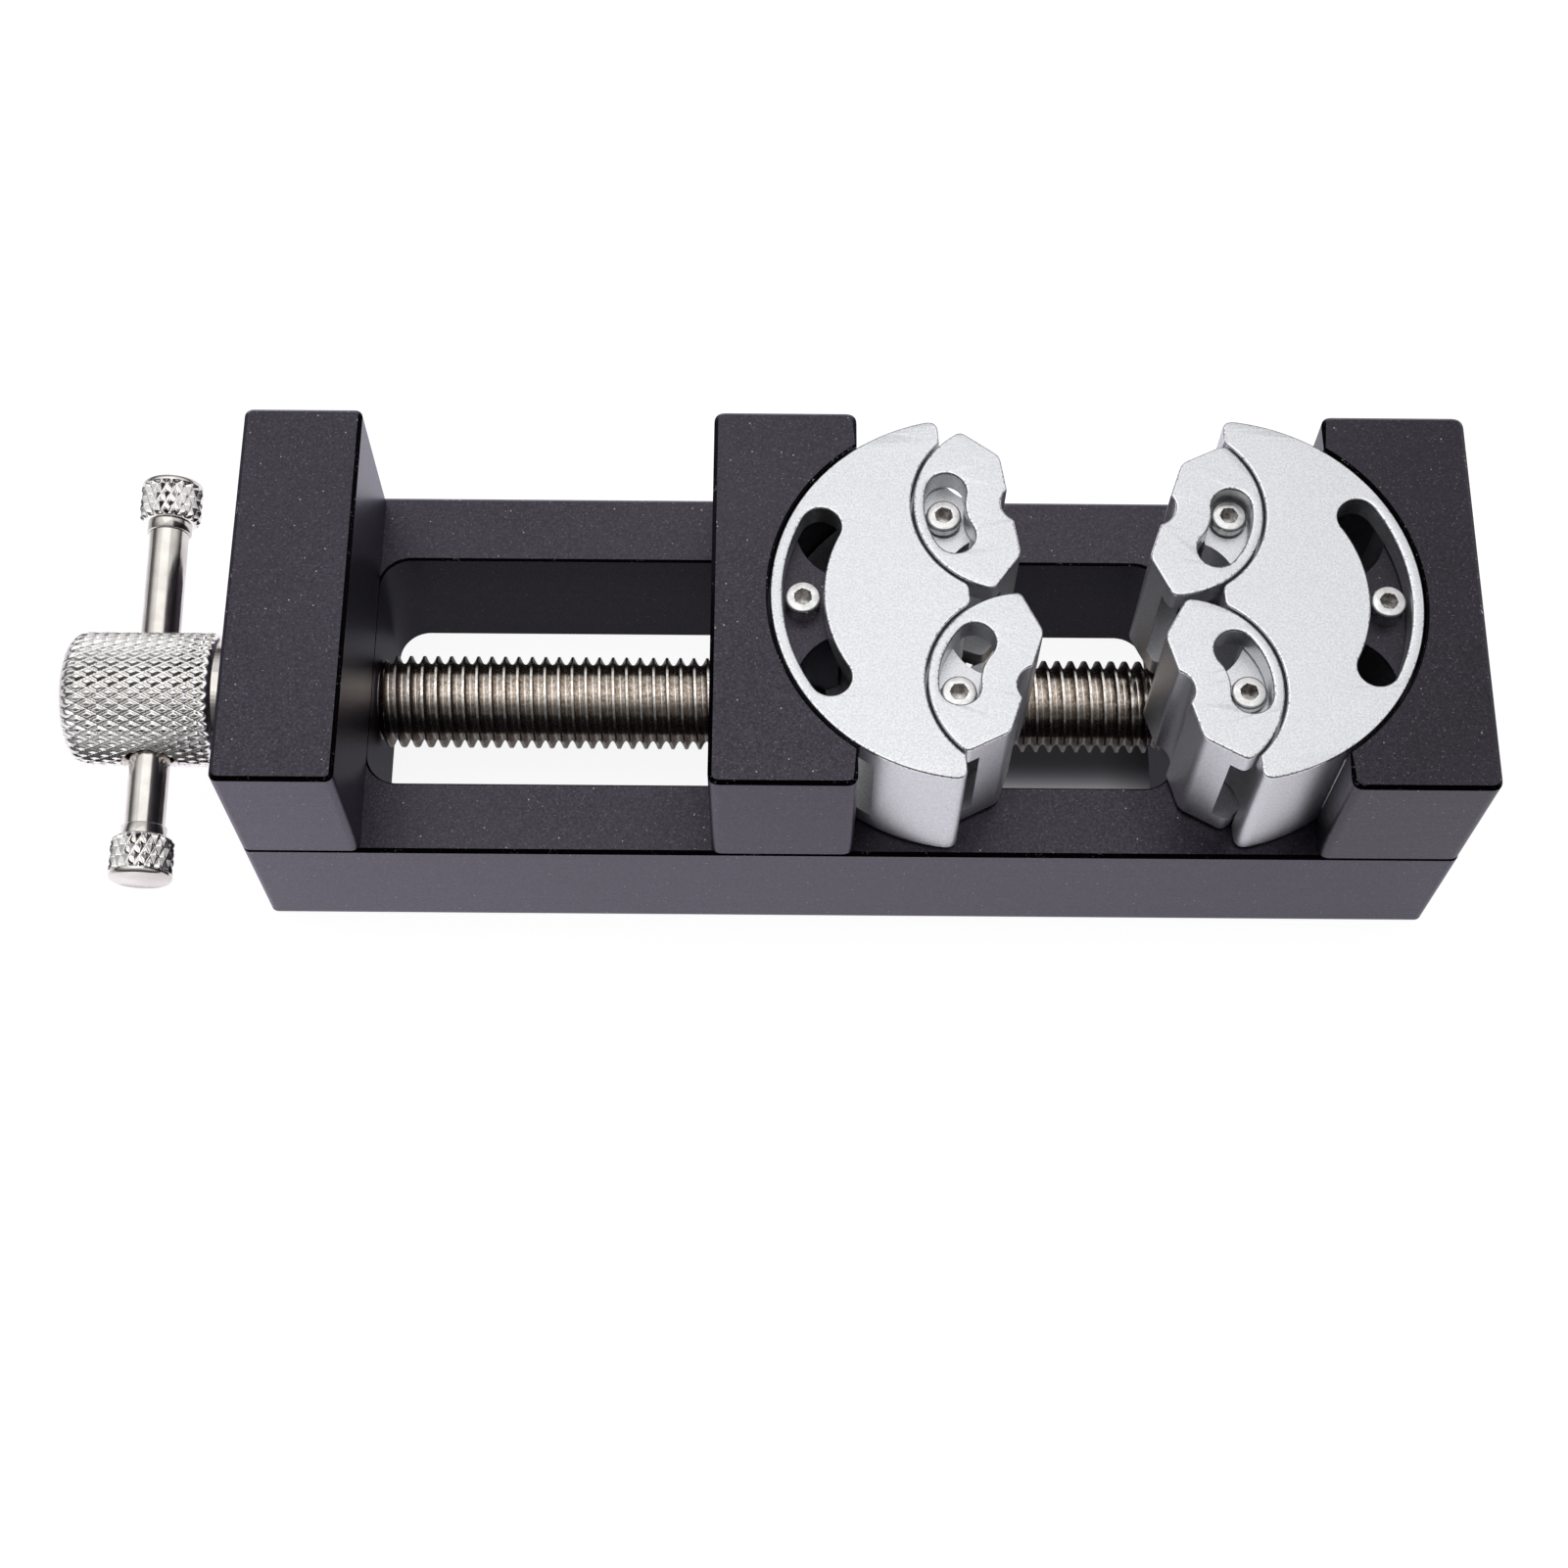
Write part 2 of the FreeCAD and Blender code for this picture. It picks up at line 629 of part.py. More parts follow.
def make_crescent(label, seat_x, turn):
    """A crescent lies in a block's seat with its back to -X of its own frame and two seats in its front."""
    body = new_body(label)
    sketch = new_sketch(body)
    draw_circle(sketch, "0", "0", CRESCENT_RADIUS)
    pad(body, sketch, JAW_HEIGHT)
    # The front is cut back to the tips' plane, but for the nose between the seats
    nose_half = "(small_seat_distance * sin(small_seat_angle) - small_seat_radius / 2)"
    front = new_sketch(body)
    draw_outline(front, [
        ("-nose_plane", f"-{nose_half}"),
        ("-tip_plane", f"-{nose_half}"),
        ("-tip_plane", "-seat_radius"),
        ("seat_radius", "-seat_radius"),
        ("seat_radius", "seat_radius"),
        ("-tip_plane", "seat_radius"),
        ("-tip_plane", nose_half),
        ("-nose_plane", nose_half),
    ])
    pocket(body, front, upward=True)
    for sign in (1, -1):
        seat = new_sketch(body)
        draw_circle(seat, SEAT_X, f"{sign} * {SEAT_Y}", "small_seat_radius")
        pocket(body, seat, upward=True)
    tip_reach = f"sqrt({CRESCENT_RADIUS} * {CRESCENT_RADIUS} - tip_plane * tip_plane)"
    tip_places = [("-tip_plane", f"{sign} * {tip_reach}") for sign in (1, -1)]
    dress(body, "Fillet", "tip_round", lambda edge: stands_at(edge, tip_places))
    seat_depth = f"({SEAT_X} + nose_plane)"
    nose_reach = f"({SEAT_Y} - sqrt(small_seat_radius * small_seat_radius - {seat_depth} * {seat_depth}))"
    nose_places = [("-nose_plane", f"{sign} * {nose_reach}") for sign in (1, -1)]
    dress(body, "Fillet", "nose_round", lambda edge: stands_at(edge, nose_places))
    # The arc slot goes through both flanges, and the edges are broken before the groove parts them
    slot = new_sketch(body)
    draw_arc_slot(slot, "arc_slot_radius", "arc_slot_half_span", "arc_slot_width")
    pocket(body, slot, upward=True)
    break_jaw_edges(body)
    # The groove round the back, cut by turning its section about the crescent's axis
    section = new_sketch(body, "XZ_Plane")
    draw_box(section, "-seat_radius - seat_gap", "-groove_floor_radius", "flange_thickness",
             f"{JAW_HEIGHT} - flange_thickness")

    def turn_groove(feature):
        feature.Profile = section
        feature.ReferenceAxis = (section, ["V_Axis"])
        feature.Midplane = True
        bind(feature, Angle="2 * groove_half_span")

    cut(body, "Groove", turn_groove)
    # A lug in each seat, with a threaded hole sunk in its top and in its underside
    foot_x = "(small_seat_radius * cos(small_lug_root_angle))"
    foot_y = "(small_seat_radius * sin(small_lug_root_angle))"
    root_x = f"({SEAT_X} - small_seat_radius - seat_gap)"
    for side in (1, -1):
        def seat_point(x, y):
            return (f"({SEAT_X} - {x})", f"({side} * {SEAT_Y} + {y})")

        lug = new_sketch(body, height=LUG_BOTTOM)
        draw_outline(lug, [
            seat_point("small_lug_reach", "small_lug_half_width") + ("right", "small_lug_flank"),
            seat_point(foot_x, foot_y),
            (root_x, seat_point(foot_x, foot_y)[1]),
            (root_x, seat_point(foot_x, f"(-{foot_y})")[1]),
            seat_point(foot_x, f"(-{foot_y})") + ("right", "small_lug_flank"),
            seat_point("small_lug_reach", "(-small_lug_half_width)"),
        ])
        pad(body, lug, "lug_height")
        for start, upward in ((f"{LUG_BOTTOM} + lug_height", False), (LUG_BOTTOM, True)):
            for radius, depth in (
                    ("lug_screw_head / 2 + clearance_fit", "small_lug_sink"),
                    ("lug_screw_shank / 2 + thread_fit", "small_lug_sink + lug_screw_length")):
                hole = new_sketch(body, height=start)
                draw_circle(hole, f"{SEAT_X} - kidney_radius", f"{side} * {SEAT_Y}", radius)
                pocket(body, hole, depth, upward)
    place(body, x=seat_x, z="deck_height + floor_gap", angle=turn)
    return body


def make_small_jaw(label, seat_x, crescent_turn, side, outward_turn):
    """A half-round jaw, flat face at the middle of its own circle, facing +X of its own frame."""
    body = new_body(label)
    bevel = (f"((sqrt(2 * {SMALL_RADIUS} * {SMALL_RADIUS} - face_half_width * face_half_width)"
             " - face_half_width) / 2)")
    notch_half = "sqrt(notch_depth * (2 * notch_radius - notch_depth))"
    sketch = new_sketch(body)
    draw_outline(sketch, [
        ("0", "face_half_width"),
        (f"-{bevel}", f"face_half_width + {bevel}", "left", SMALL_RADIUS),
        (f"-{SMALL_RADIUS}", "0", "left", SMALL_RADIUS),
        (f"-{bevel}", f"-face_half_width - {bevel}"),
        ("0", "-face_half_width"),
        ("0", f"-{notch_half}", "right", "notch_radius"),
        ("-notch_depth", "0", "right", "notch_radius"),
        ("0", notch_half),
    ])
    pad(body, sketch, JAW_HEIGHT)
    corners = [("0", f"{sign} * face_half_width") for sign in (1, -1)]
    corners += [(f"-{bevel}", f"{sign} * (face_half_width + {bevel})") for sign in (1, -1)]
    dress(body, "Fillet", "face_corner_round", lambda edge: stands_at(edge, corners))
    slot = new_sketch(body)
    draw_arc_slot(slot, "kidney_radius", "kidney_half_span", "kidney_width")
    pocket(body, slot, upward=True)
    break_jaw_edges(body)
    # The groove across the back, which leaves a flange above and below for the crescent's lug to lie between
    groove = new_sketch(body, height="flange_thickness")
    draw_box(groove, "-small_seat_radius", "-small_groove_plane", "-small_seat_radius", "small_seat_radius")
    pocket(body, groove, f"{JAW_HEIGHT} - 2 * flange_thickness", upward=True)
    place(body,
          x=f"{seat_x} + small_seat_distance * cos({crescent_turn} + {side} * small_seat_angle)",
          y=f"small_seat_distance * sin({crescent_turn} + {side} * small_seat_angle)",
          z="deck_height + floor_gap",
          angle=f"{crescent_turn} + {side} * {outward_turn}")
    return body


def make_screws(label, size, places):
    """A group of equal cap screws. A place is (x, y, z of the head's bearing face, 1 for head up or -1)."""
    screws = []
    for x, y, z, way in places:
        head = doc.addObject("Part::Cylinder", "Head")
        bind(head, Radius=f"{size}_head / 2", Height=f"{size}_head_height")
        if way < 0:
            bind(head, Placement__Base__z=f"-{size}_head_height")
        shank = doc.addObject("Part::Cylinder", "Shank")
        bind(shank, Radius=f"{size}_shank / 2", Height=f"{size}_length")
        if way > 0:
            bind(shank, Placement__Base__z=f"-{size}_length")
        screw = doc.addObject("Part::Fuse", "Screw")
        screw.Base = head
        screw.Tool = shank
        place(screw, x, y, z)
        screws.append(screw)
    group = doc.addObject("Part::Compound", label)
    group.Label = label
    group.Links = screws
    doc.recompute()
    return group


def lug_screw_places(x, y, sink="0"):
    """The upper and the lower screw of one lug, sunk in its faces."""
    low = f"deck_height + floor_gap + {LUG_BOTTOM}"
    return [(x, y, f"{low} + lug_height - {sink}", 1), (x, y, f"{low} + {sink}", -1)]


def small_lug_places(seat_x, turn):
    """The screws of a crescent's two lugs, from the crescent's own frame turned to where it rests."""
    places = []
    local_x = f"({SEAT_X} - kidney_radius)"
    for side in (1, -1):
        local_y = f"({side} * {SEAT_Y})"
        x = f"{seat_x} + {local_x} * cos({turn}) - {local_y} * sin({turn})"
        y = f"{local_x} * sin({turn}) + {local_y} * cos({turn})"
        places += lug_screw_places(x, y, "small_lug_sink")
    return places


LEFT_SEAT = f"({MOVING_FACE} + seat_offset)"
RIGHT_SEAT = f"({FIXED_FACE} - seat_offset)"
LEFT_TURN = "left_crescent_turn"
RIGHT_TURN = "(180 + right_crescent_turn)"

nodes = [
    make_base_frame(),
    make_end_block(),
    make_fixed_jaw_block(),
    make_moving_jaw_block(),
    make_carriage(),
    make_lead_nut(),
    make_lead_screw(),
    make_handle_hub(),
    make_handle_bar(),
    make_handle_cap("handle_cap_near", -1),
    make_handle_cap("handle_cap_far", 1),
    make_tube("spindle_bush", "end_block_length - bush_shoulder", "journal_diameter / 2 + running_gap",
              "journal_diameter / 2 + running_gap + bush_wall", "-base_length / 2"),
    make_tube("end_bush", "end_bush_length", "pilot_diameter / 2 + running_gap",
              "pilot_diameter / 2 + running_gap + bush_wall", SLOT_END),
    make_tube("thrust_washer", "washer_thickness", "journal_diameter / 2 + running_gap",
              "neck_diameter / 2", "-base_length / 2 - washer_thickness"),
    make_crescent("crescent_left", LEFT_SEAT, LEFT_TURN),
    make_crescent("crescent_right", RIGHT_SEAT, RIGHT_TURN),
    make_small_jaw("jaw_left_far", LEFT_SEAT, LEFT_TURN, "1", "left_far_turn"),
    make_small_jaw("jaw_left_near", LEFT_SEAT, LEFT_TURN, "(-1)", "left_near_turn"),
    make_small_jaw("jaw_right_far", RIGHT_SEAT, RIGHT_TURN, "(-1)", "right_far_turn"),
    make_small_jaw("jaw_right_near", RIGHT_SEAT, RIGHT_TURN, "1", "right_near_turn"),
    make_screws("arc_screws_left", "lug_screw", lug_screw_places(f"{LEFT_SEAT} - arc_slot_radius", "0")),
    make_screws("arc_screws_right", "lug_screw", lug_screw_places(f"{RIGHT_SEAT} + arc_slot_radius", "0")),
    make_screws("crescent_screws_left", "lug_screw", small_lug_places(LEFT_SEAT, LEFT_TURN)),
    make_screws("crescent_screws_right", "lug_screw", small_lug_places(RIGHT_SEAT, RIGHT_TURN)),
    make_screws("end_block_screws", "large_screw", [
        ("(end_block_length - base_length) / 2", f"{sign} * base_screw_spread / 2",
         "screw_head_sink + large_screw_head_height", -1) for sign in (1, -1)]),
    make_screws("fixed_block_screws", "large_screw", [
        ("base_length / 2 - block_screw_inset", f"{sign} * base_screw_spread / 2",
         "screw_head_sink + large_screw_head_height", -1) for sign in (1, -1)]),
    make_screws("carriage_screws", "large_screw", [
        (f"{MOVING_FACE} - jaw_block_length + carriage_screw_inset", f"{sign} * carriage_screw_spread / 2",
         "carriage_lift + screw_head_sink + large_screw_head_height", -1) for sign in (1, -1)]),
]

doc.recompute()
for item in doc.Objects:
    if "Invalid" in item.State or "Error" in item.State:
        raise RuntimeError(f"{item.Label} failed: {item.State}")
os.makedirs("parts", exist_ok=True)
for node in nodes:
    if node.Shape.isNull() or not node.Shape.isValid():
        raise RuntimeError(f"{node.Label} has no valid shape")
    node.Shape.exportStep(f"parts/{node.Label}.step")
    print(node.Label, len(node.Shape.Solids), round(node.Shape.Volume, 1))
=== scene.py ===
import json
from math import acos, atan2, ceil, cos, degrees, pi, radians, sin, sqrt

import bmesh
import bpy
from mathutils import Matrix, Vector
from mathutils.geometry import tessellate_polygon


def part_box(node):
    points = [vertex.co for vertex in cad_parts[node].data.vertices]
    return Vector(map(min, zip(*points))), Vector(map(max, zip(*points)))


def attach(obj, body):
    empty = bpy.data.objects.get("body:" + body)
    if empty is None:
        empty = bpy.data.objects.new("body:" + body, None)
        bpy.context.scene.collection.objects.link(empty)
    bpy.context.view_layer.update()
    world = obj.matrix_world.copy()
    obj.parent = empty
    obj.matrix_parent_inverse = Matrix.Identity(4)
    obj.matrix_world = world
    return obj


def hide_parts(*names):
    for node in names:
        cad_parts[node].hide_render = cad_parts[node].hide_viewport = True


# A small bench vise with nested crescent jaws. Pieces are drawn in millimetres in the frame's own place and
# scaled to metres at the end. X runs to the fixed jaw, Y away from the viewer, Z up.

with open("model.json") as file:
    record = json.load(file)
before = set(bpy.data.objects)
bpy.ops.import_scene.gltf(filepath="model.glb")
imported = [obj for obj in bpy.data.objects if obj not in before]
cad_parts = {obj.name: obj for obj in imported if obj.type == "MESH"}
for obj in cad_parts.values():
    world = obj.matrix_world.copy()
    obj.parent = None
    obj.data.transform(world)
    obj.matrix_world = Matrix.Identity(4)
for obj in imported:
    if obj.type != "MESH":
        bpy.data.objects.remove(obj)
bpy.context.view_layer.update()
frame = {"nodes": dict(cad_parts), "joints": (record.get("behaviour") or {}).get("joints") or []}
MM = 0.001

# The bar and its blocks
BASE_LENGTH = 150.0
BASE_WIDTH = 50.0
DECK = 21.2
BLOCK_RISE = 21.8
END_BLOCK = 14.5
JAW_BLOCK = 17.5
CORNER_ROUND = 1.0
CORNER_REACH = 1.4
EDGE = 0.5
SEAT_EDGE_SHARE = 0.45
FOOT_EDGE = 0.2
SLOT_EDGE = 0.3
ROUND = 0.35
SLOT_LENGTH = 101.0
SLOT_WIDTH = 31.4
SLOT_CORNER = 4.0
# How far cutters reach past what they cut, and united solids into each other
BEYOND = 1
OVERLAP = 0.2
# The screw, its bearings and what rides on it
SCREW_Z = 11.5
THREAD_RADIUS = 5.95
THREAD_PITCH = 1.75
THREAD_DEPTH_SHARE = 0.58
THREAD_CREST = 0.08
THREAD_LEAD = 0.9
THREAD_CORE = 4.6
THREAD_START_GAP = 0.05
THREAD_END_GAP = 0.3
# Radii over which the darker flank colour, oil and painted shade, fades in above the root and out below the
# crest
FLANK_ROOT = (4.97, 5.12)
FLANK_CREST = (5.78, 5.90)
JOURNAL_RADIUS = 5.0
PILOT_RADIUS = 4.0
PILOT_BREAK = 0.5
DECK_GAP = 0.05
NUT_RADIUS = 7.5
NUT_FLANGE = 2.0
# The handle
HUB_RADIUS = 8.75
HUB_LENGTH = 19.4
HUB_ROUND = 2.6
HUB_END_ROUND = 1.3
HUB_RUN_OUT = 0.3
HUB_SOCKET = 4.3
HUB_LAND = 0.2
HUB_FADE = 1.2
HUB_ROUND_FADE = 1.3
NECK_RADIUS = 7.9
NECK_BREAK = 0.3
BAR_RADIUS = 2.6
BAR_END_RADIUS = 2.0
BAR_HOLE_RADIUS = 2.9
BAR_HOLE_BREAK = 0.9
BAR_HOLE_INSET = 10.85
CAP_RADIUS = 4.075
CAP_LENGTH = 7.2
CAP_BORE = 5.0
CAP_FACE_RADIUS = 3.4
CAP_FACE_BREAK = 0.08
CAP_FACE_DEPTH = 0.03
CAP_BEVEL = 0.7
CAP_LAND = 0.15
CAP_FADE_IN = 0.35
CAP_FADE_OUT = 0.5
CAP_SHOULDER = 1.1
CAP_NECK_RADIUS = 2.9
CAP_NECK_LENGTH = 1.4
CAP_NECK_BREAK = 0.1
SHOULDER_FULLNESS = 0.98
# Knurls: grooves round, spacings that a groove shifts by per millimetre, depth, uncut share, columns
HUB_KNURL = (38, 0.364, 0.42, 0.40, 38 * 14)
CAP_KNURL = (18, 0.38, 0.52, 0.14, 18 * 18)
# The crescents
SEAT_OFFSET = 13.85
SEAT_RADIUS = 24.6
SEAT_GAP = 0.3
FLOOR_GAP = 0.4
JAW_EDGE = 0.3
FLANGE = 3.4
LUG_GAP = 0.25
LUG_ROOT = 1.5
GROOVE_RADIUS = 16.0
GROOVE_SPAN = 57.4
ARC_SLOT_RADIUS = 20.35
ARC_SLOT_SPAN = 29.6
SMALL_SLOT_WIDTH = 4.9
TIP_PLANE = 2.5
NOSE_PLANE = 0.4
TIP_REACH = 1.6
NOSE_REACH = 0.8
BITE_RADIUS = 7.2
BITE_DISTANCE = 17.7
BITE_ANGLE = 37.5
# The small jaws
SMALL_SEAT_DISTANCE = 13.1
SMALL_SEAT_ANGLE = 65.3
SMALL_SEAT_RADIUS = 12.1
FACE_HALF = 6.9
NOTCH_RADIUS = 2.5
NOTCH_DEPTH = 1.15
NOTCH_REACH = 0.25
SHOULDER_REACH = 0.75
SMALL_GROOVE_PLANE = 2.8
KIDNEY_RADIUS = 8.0
KIDNEY_SPAN = 22.3
LUG_REACH = 5.0
LUG_HALF = 3.0
LUG_ROOT_ANGLE = 45.0
LUG_FLANK = 6.55
# Cap screws: head radius, head height, shank radius, length
SMALL_SCREW = (2.15, 2.5, 1.25, 5.0)
LARGE_SCREW = (3.5, 4.0, 2.0, 25.0)
UNDERSIDE_BREAK = 0.05
# In head radii, but for the height of the edge in its widths and the socket's floor in head heights
HEAD_ROUND = 0.15
HEAD_ROUND_HEIGHT = 1.6
SOCKET_CORNER = 0.54
SOCKET_FLOOR = 0.4
LEAD_IN = (0.46, 0.51)
LEAD_IN_DEPTH = 0.04
# In shank radii
TIP_RADIUS = 0.8
TIP_LENGTH = 0.25
# How deep the heads in the crescents' lugs are sunk, and the fits
LUG_SINK = 0.85
HEAD_FIT = 0.2
THREAD_FIT = 0.02
RUNNING_GAP = 0.03

JAW_LOW = DECK + FLOOR_GAP
JAW_TOP = DECK + BLOCK_RISE
LUG_LOW = JAW_LOW + FLANGE + LUG_GAP
LUG_TOP = JAW_TOP - FLANGE - LUG_GAP
SLOT_START = END_BLOCK - BASE_LENGTH / 2
SLOT_END = SLOT_START + SLOT_LENGTH
joints = {joint["name"]: joint for joint in frame["joints"]}


def axis_place(joint):
    """Where a joint's axis stands in plan, in millimetres."""
    x, y, _ = joints[joint]["pos_m"]
    return Vector((x, y)) / MM


def rest_turn(joint):
    """How far a jaw stands at rest from the middle of its travel."""
    return -sum(joints[joint]["range_deg"]) / 2


LEFT_AXIS = axis_place("crescent_left_turn")
RIGHT_AXIS = axis_place("crescent_right_turn")
MOVING_FACE = LEFT_AXIS.x - SEAT_OFFSET
FIXED_FACE = RIGHT_AXIS.x + SEAT_OFFSET
SLIDE = Vector(joints["bar_slide"]["axis"])
HANDLE_ROLL = degrees(atan2(SLIDE.z, SLIDE.y))


# Outlines, as lists of 2-D points with the material on the left of the way round

def polar(centre, radius, turn):
    angle = radians(turn)
    return Vector((centre[0] + radius * cos(angle), centre[1] + radius * sin(angle)))


def arc(centre, radius, start, end, step=0.22):
    """Points along an arc from start to end degrees, both included; end below start runs clockwise."""
    count = max(3, ceil(radians(abs(end - start)) * radius / step))
    return [polar(centre, radius, start + (end - start) * index / count) for index in range(count + 1)]


def bearing(centre, point):
    return degrees(atan2(point[1] - centre[1], point[0] - centre[0]))


def quarter_round(steps):
    """1 - cosine and 1 - sine of the angles from 0 to 90 degrees."""
    turns = [pi / 2 * index / steps for index in range(steps + 1)]
    return [(1 - cos(turn), 1 - sin(turn)) for turn in turns]


def soften(points, corners, reach):
    """Rounds an outline where it passes a corner, over the given reach to either side."""
    for corner in corners:
        corner = Vector(corner)
        count = len(points)
        near = min(range(count), key=lambda index: (points[index] - corner).length)

        def walk(way):
            left = reach
            here = near
            while True:
                step = (points[(here + way) % count] - points[here]).length
                if step >= left:
                    return here, points[here].lerp(points[(here + way) % count], left / step)
                left -= step
                here = (here + way) % count

        back, first = walk(-1)
        ahead, last = walk(1)
        bend = []
        steps = 6
        for index in range(steps + 1):
            share = index / steps
            bend.append(first.lerp(points[near], share).lerp(points[near].lerp(last, share), share))
        kept = []
        index = (ahead + 1) % count
        while index != back:
            kept.append(points[index])
            index = (index + 1) % count
        points = kept + bend
    return points


def rectangle(low, high, width, radius):
    """A rectangle from low to high X, centred on the X axis, with round corners, anticlockwise."""
    left, right, half = low + radius, high - radius, width / 2 - radius
    points = []
    for x, y, start in ((right, half, 0), (left, half, 90), (left, -half, 180), (right, -half, 270)):
        points += arc((x, y), radius, start, start + 90)
    return points


def mirrored(points):
    """The same points on the other side of the X axis, in reverse order."""
    return [Vector((point.x, -point.y)) for point in reversed(points)]


def arc_slot(radius, half_span, width=SMALL_SLOT_WIDTH):
    """A slot bent round the origin on its -X side, clockwise."""
    half = width / 2
    points = arc((0, 0), radius + half, 180 - half_span, 180 + half_span)
    points += arc(polar((0, 0), radius, 180 + half_span), half, 180 + half_span, 360 + half_span)[1:-1]
    points += arc((0, 0), radius - half, 180 + half_span, 180 - half_span)
    points += arc(polar((0, 0), radius, 180 - half_span), half, -half_span, 180 - half_span)[1:-1]
    return points[::-1]


def crescent_outline():
    radius = SEAT_RADIUS - SEAT_GAP
    upper = polar((0, 0), SMALL_SEAT_DISTANCE, SMALL_SEAT_ANGLE)
    lower = Vector((upper.x, -upper.y))
    tip_angle = degrees(acos(-TIP_PLANE / radius))
    tip_y = radius * sin(radians(tip_angle))
    seat_tip = upper.y + sqrt(SMALL_SEAT_RADIUS ** 2 - (upper.x + TIP_PLANE) ** 2)
    nose_y = upper.y - sqrt(SMALL_SEAT_RADIUS ** 2 - (upper.x + NOSE_PLANE) ** 2)
    points = arc((0, 0), radius, tip_angle, 360 - tip_angle)
    start = bearing(lower, (-TIP_PLANE, -seat_tip)) % 360
    end = bearing(lower, (-NOSE_PLANE, -nose_y)) % 360
    points += arc(lower, SMALL_SEAT_RADIUS, start, end)
    points += arc(upper, SMALL_SEAT_RADIUS, 360 - end, 360 - start)
    points = soften(points, [(-TIP_PLANE, tip_y), (-TIP_PLANE, -tip_y)], TIP_REACH)
    return soften(points, [(-NOSE_PLANE, nose_y), (-NOSE_PLANE, -nose_y)], NOSE_REACH)


def small_jaw_outline():
    radius = SMALL_SEAT_RADIUS - SEAT_GAP
    bevel = (sqrt(2 * radius ** 2 - FACE_HALF ** 2) - FACE_HALF) / 2
    shoulder = Vector((-bevel, FACE_HALF + bevel))
    notch_centre = (NOTCH_RADIUS - NOTCH_DEPTH, 0)
    notch_angle = degrees(acos(-notch_centre[0] / NOTCH_RADIUS))
    notch_half = NOTCH_RADIUS * sin(radians(notch_angle))
    start = bearing((0, 0), shoulder)
    points = [Vector((0, FACE_HALF))]
    points += arc((0, 0), radius, start, 360 - start)
    points += [Vector((0, -FACE_HALF))]
    points += arc(notch_centre, NOTCH_RADIUS, 360 - notch_angle, notch_angle)
    corners = [(0, FACE_HALF), (0, -FACE_HALF), shoulder, (shoulder.x, -shoulder.y)]
    points = soften(points, corners, SHOULDER_REACH)
    return soften(points, [(0, notch_half), (0, -notch_half)], NOTCH_REACH)


def jaw_block_outline():
    """A jaw block with its inner face on the plane X = 0 and the seat cut into it."""
    half = BASE_WIDTH / 2
    mouth = degrees(acos(-SEAT_OFFSET / SEAT_RADIUS))
    points = [Vector((-JAW_BLOCK, -half)), Vector((0, -half))]
    points += arc((SEAT_OFFSET, 0), SEAT_RADIUS, 360 - mouth, mouth)
    points += [Vector((0, half)), Vector((-JAW_BLOCK, half))]
    corners = [(-JAW_BLOCK, -half), (-JAW_BLOCK, half), (0, -half), (0, half)]
    return soften(points, corners, CORNER_REACH)


def crossing(first, second, distance):
    """The angle at the first circle's centre from the second's centre to where the two circles cross."""
    return degrees(acos((first ** 2 + distance ** 2 - second ** 2) / (2 * first * distance)))


def lug_outline():
    """The lug in a block's seat, in the seat's own frame with the block to -X."""
    nose = GROOVE_RADIUS + SEAT_GAP
    nose_angle = BITE_ANGLE - crossing(nose, BITE_RADIUS, BITE_DISTANCE)
    foot_angle = BITE_ANGLE - crossing(SEAT_RADIUS, BITE_RADIUS, BITE_DISTANCE)
    root = -SEAT_RADIUS - LUG_ROOT
    points = arc((0, 0), nose, 180 - nose_angle, 180 + nose_angle)
    bite = polar((0, 0), BITE_DISTANCE, 180 + BITE_ANGLE)
    nose_corner = polar((0, 0), nose, 180 + nose_angle)
    foot = polar((0, 0), SEAT_RADIUS, 180 + foot_angle)
    near_bite = arc(bite, BITE_RADIUS, bearing(bite, nose_corner), bearing(bite, foot) % 360)[1:]
    points += near_bite
    points += [Vector((root, foot.y)), Vector((root, -foot.y))]
    points += mirrored(near_bite)
    return points


def small_lug_outline():
    """The lug in a crescent's seat, in the seat's own frame with the crescent to -X."""
    nose = Vector((-LUG_REACH, LUG_HALF))
    foot = polar((0, 0), SMALL_SEAT_RADIUS, 180 - LUG_ROOT_ANGLE)
    chord = foot - nose
    rise = sqrt(LUG_FLANK ** 2 - (chord.length / 2) ** 2)
    centre = (nose + foot) / 2 + Vector((chord.y, -chord.x)).normalized() * rise
    flank = arc(centre, LUG_FLANK, bearing(centre, foot) % 360, bearing(centre, nose) % 360)
    root = -SMALL_SEAT_RADIUS - SEAT_GAP
    half = [Vector((root, foot.y))] + flank
    return half + mirrored(half)


# Solids made from outlines and profiles, still in millimetres

def new_object(name, data):
    created = bpy.data.objects.new(name, data)
    bpy.context.scene.collection.objects.link(created)
    return created


def to_object(bm, name):
    mesh = bpy.data.meshes.new(name)
    bm.normal_update()
    bm.to_mesh(mesh)
    bm.free()
    return new_object(name, mesh)


def onward(ring):
    """A ring's items, each replaced by the next."""
    return ring[1:] + ring[:1]


def inset(points, distances):
    """An outline moved into the material on its left, by a distance for each point."""
    count = len(points)
    moved = []
    for index in range(count):
        before = (points[index] - points[index - 1]).normalized()
        after = (points[(index + 1) % count] - points[index]).normalized()
        normal = Vector((-before.y - after.y, before.x + after.x)).normalized()
        spread = max(0.5, normal.dot(Vector((-after.y, after.x))))
        moved.append(points[index] + normal * distances[index] / spread)
    return moved


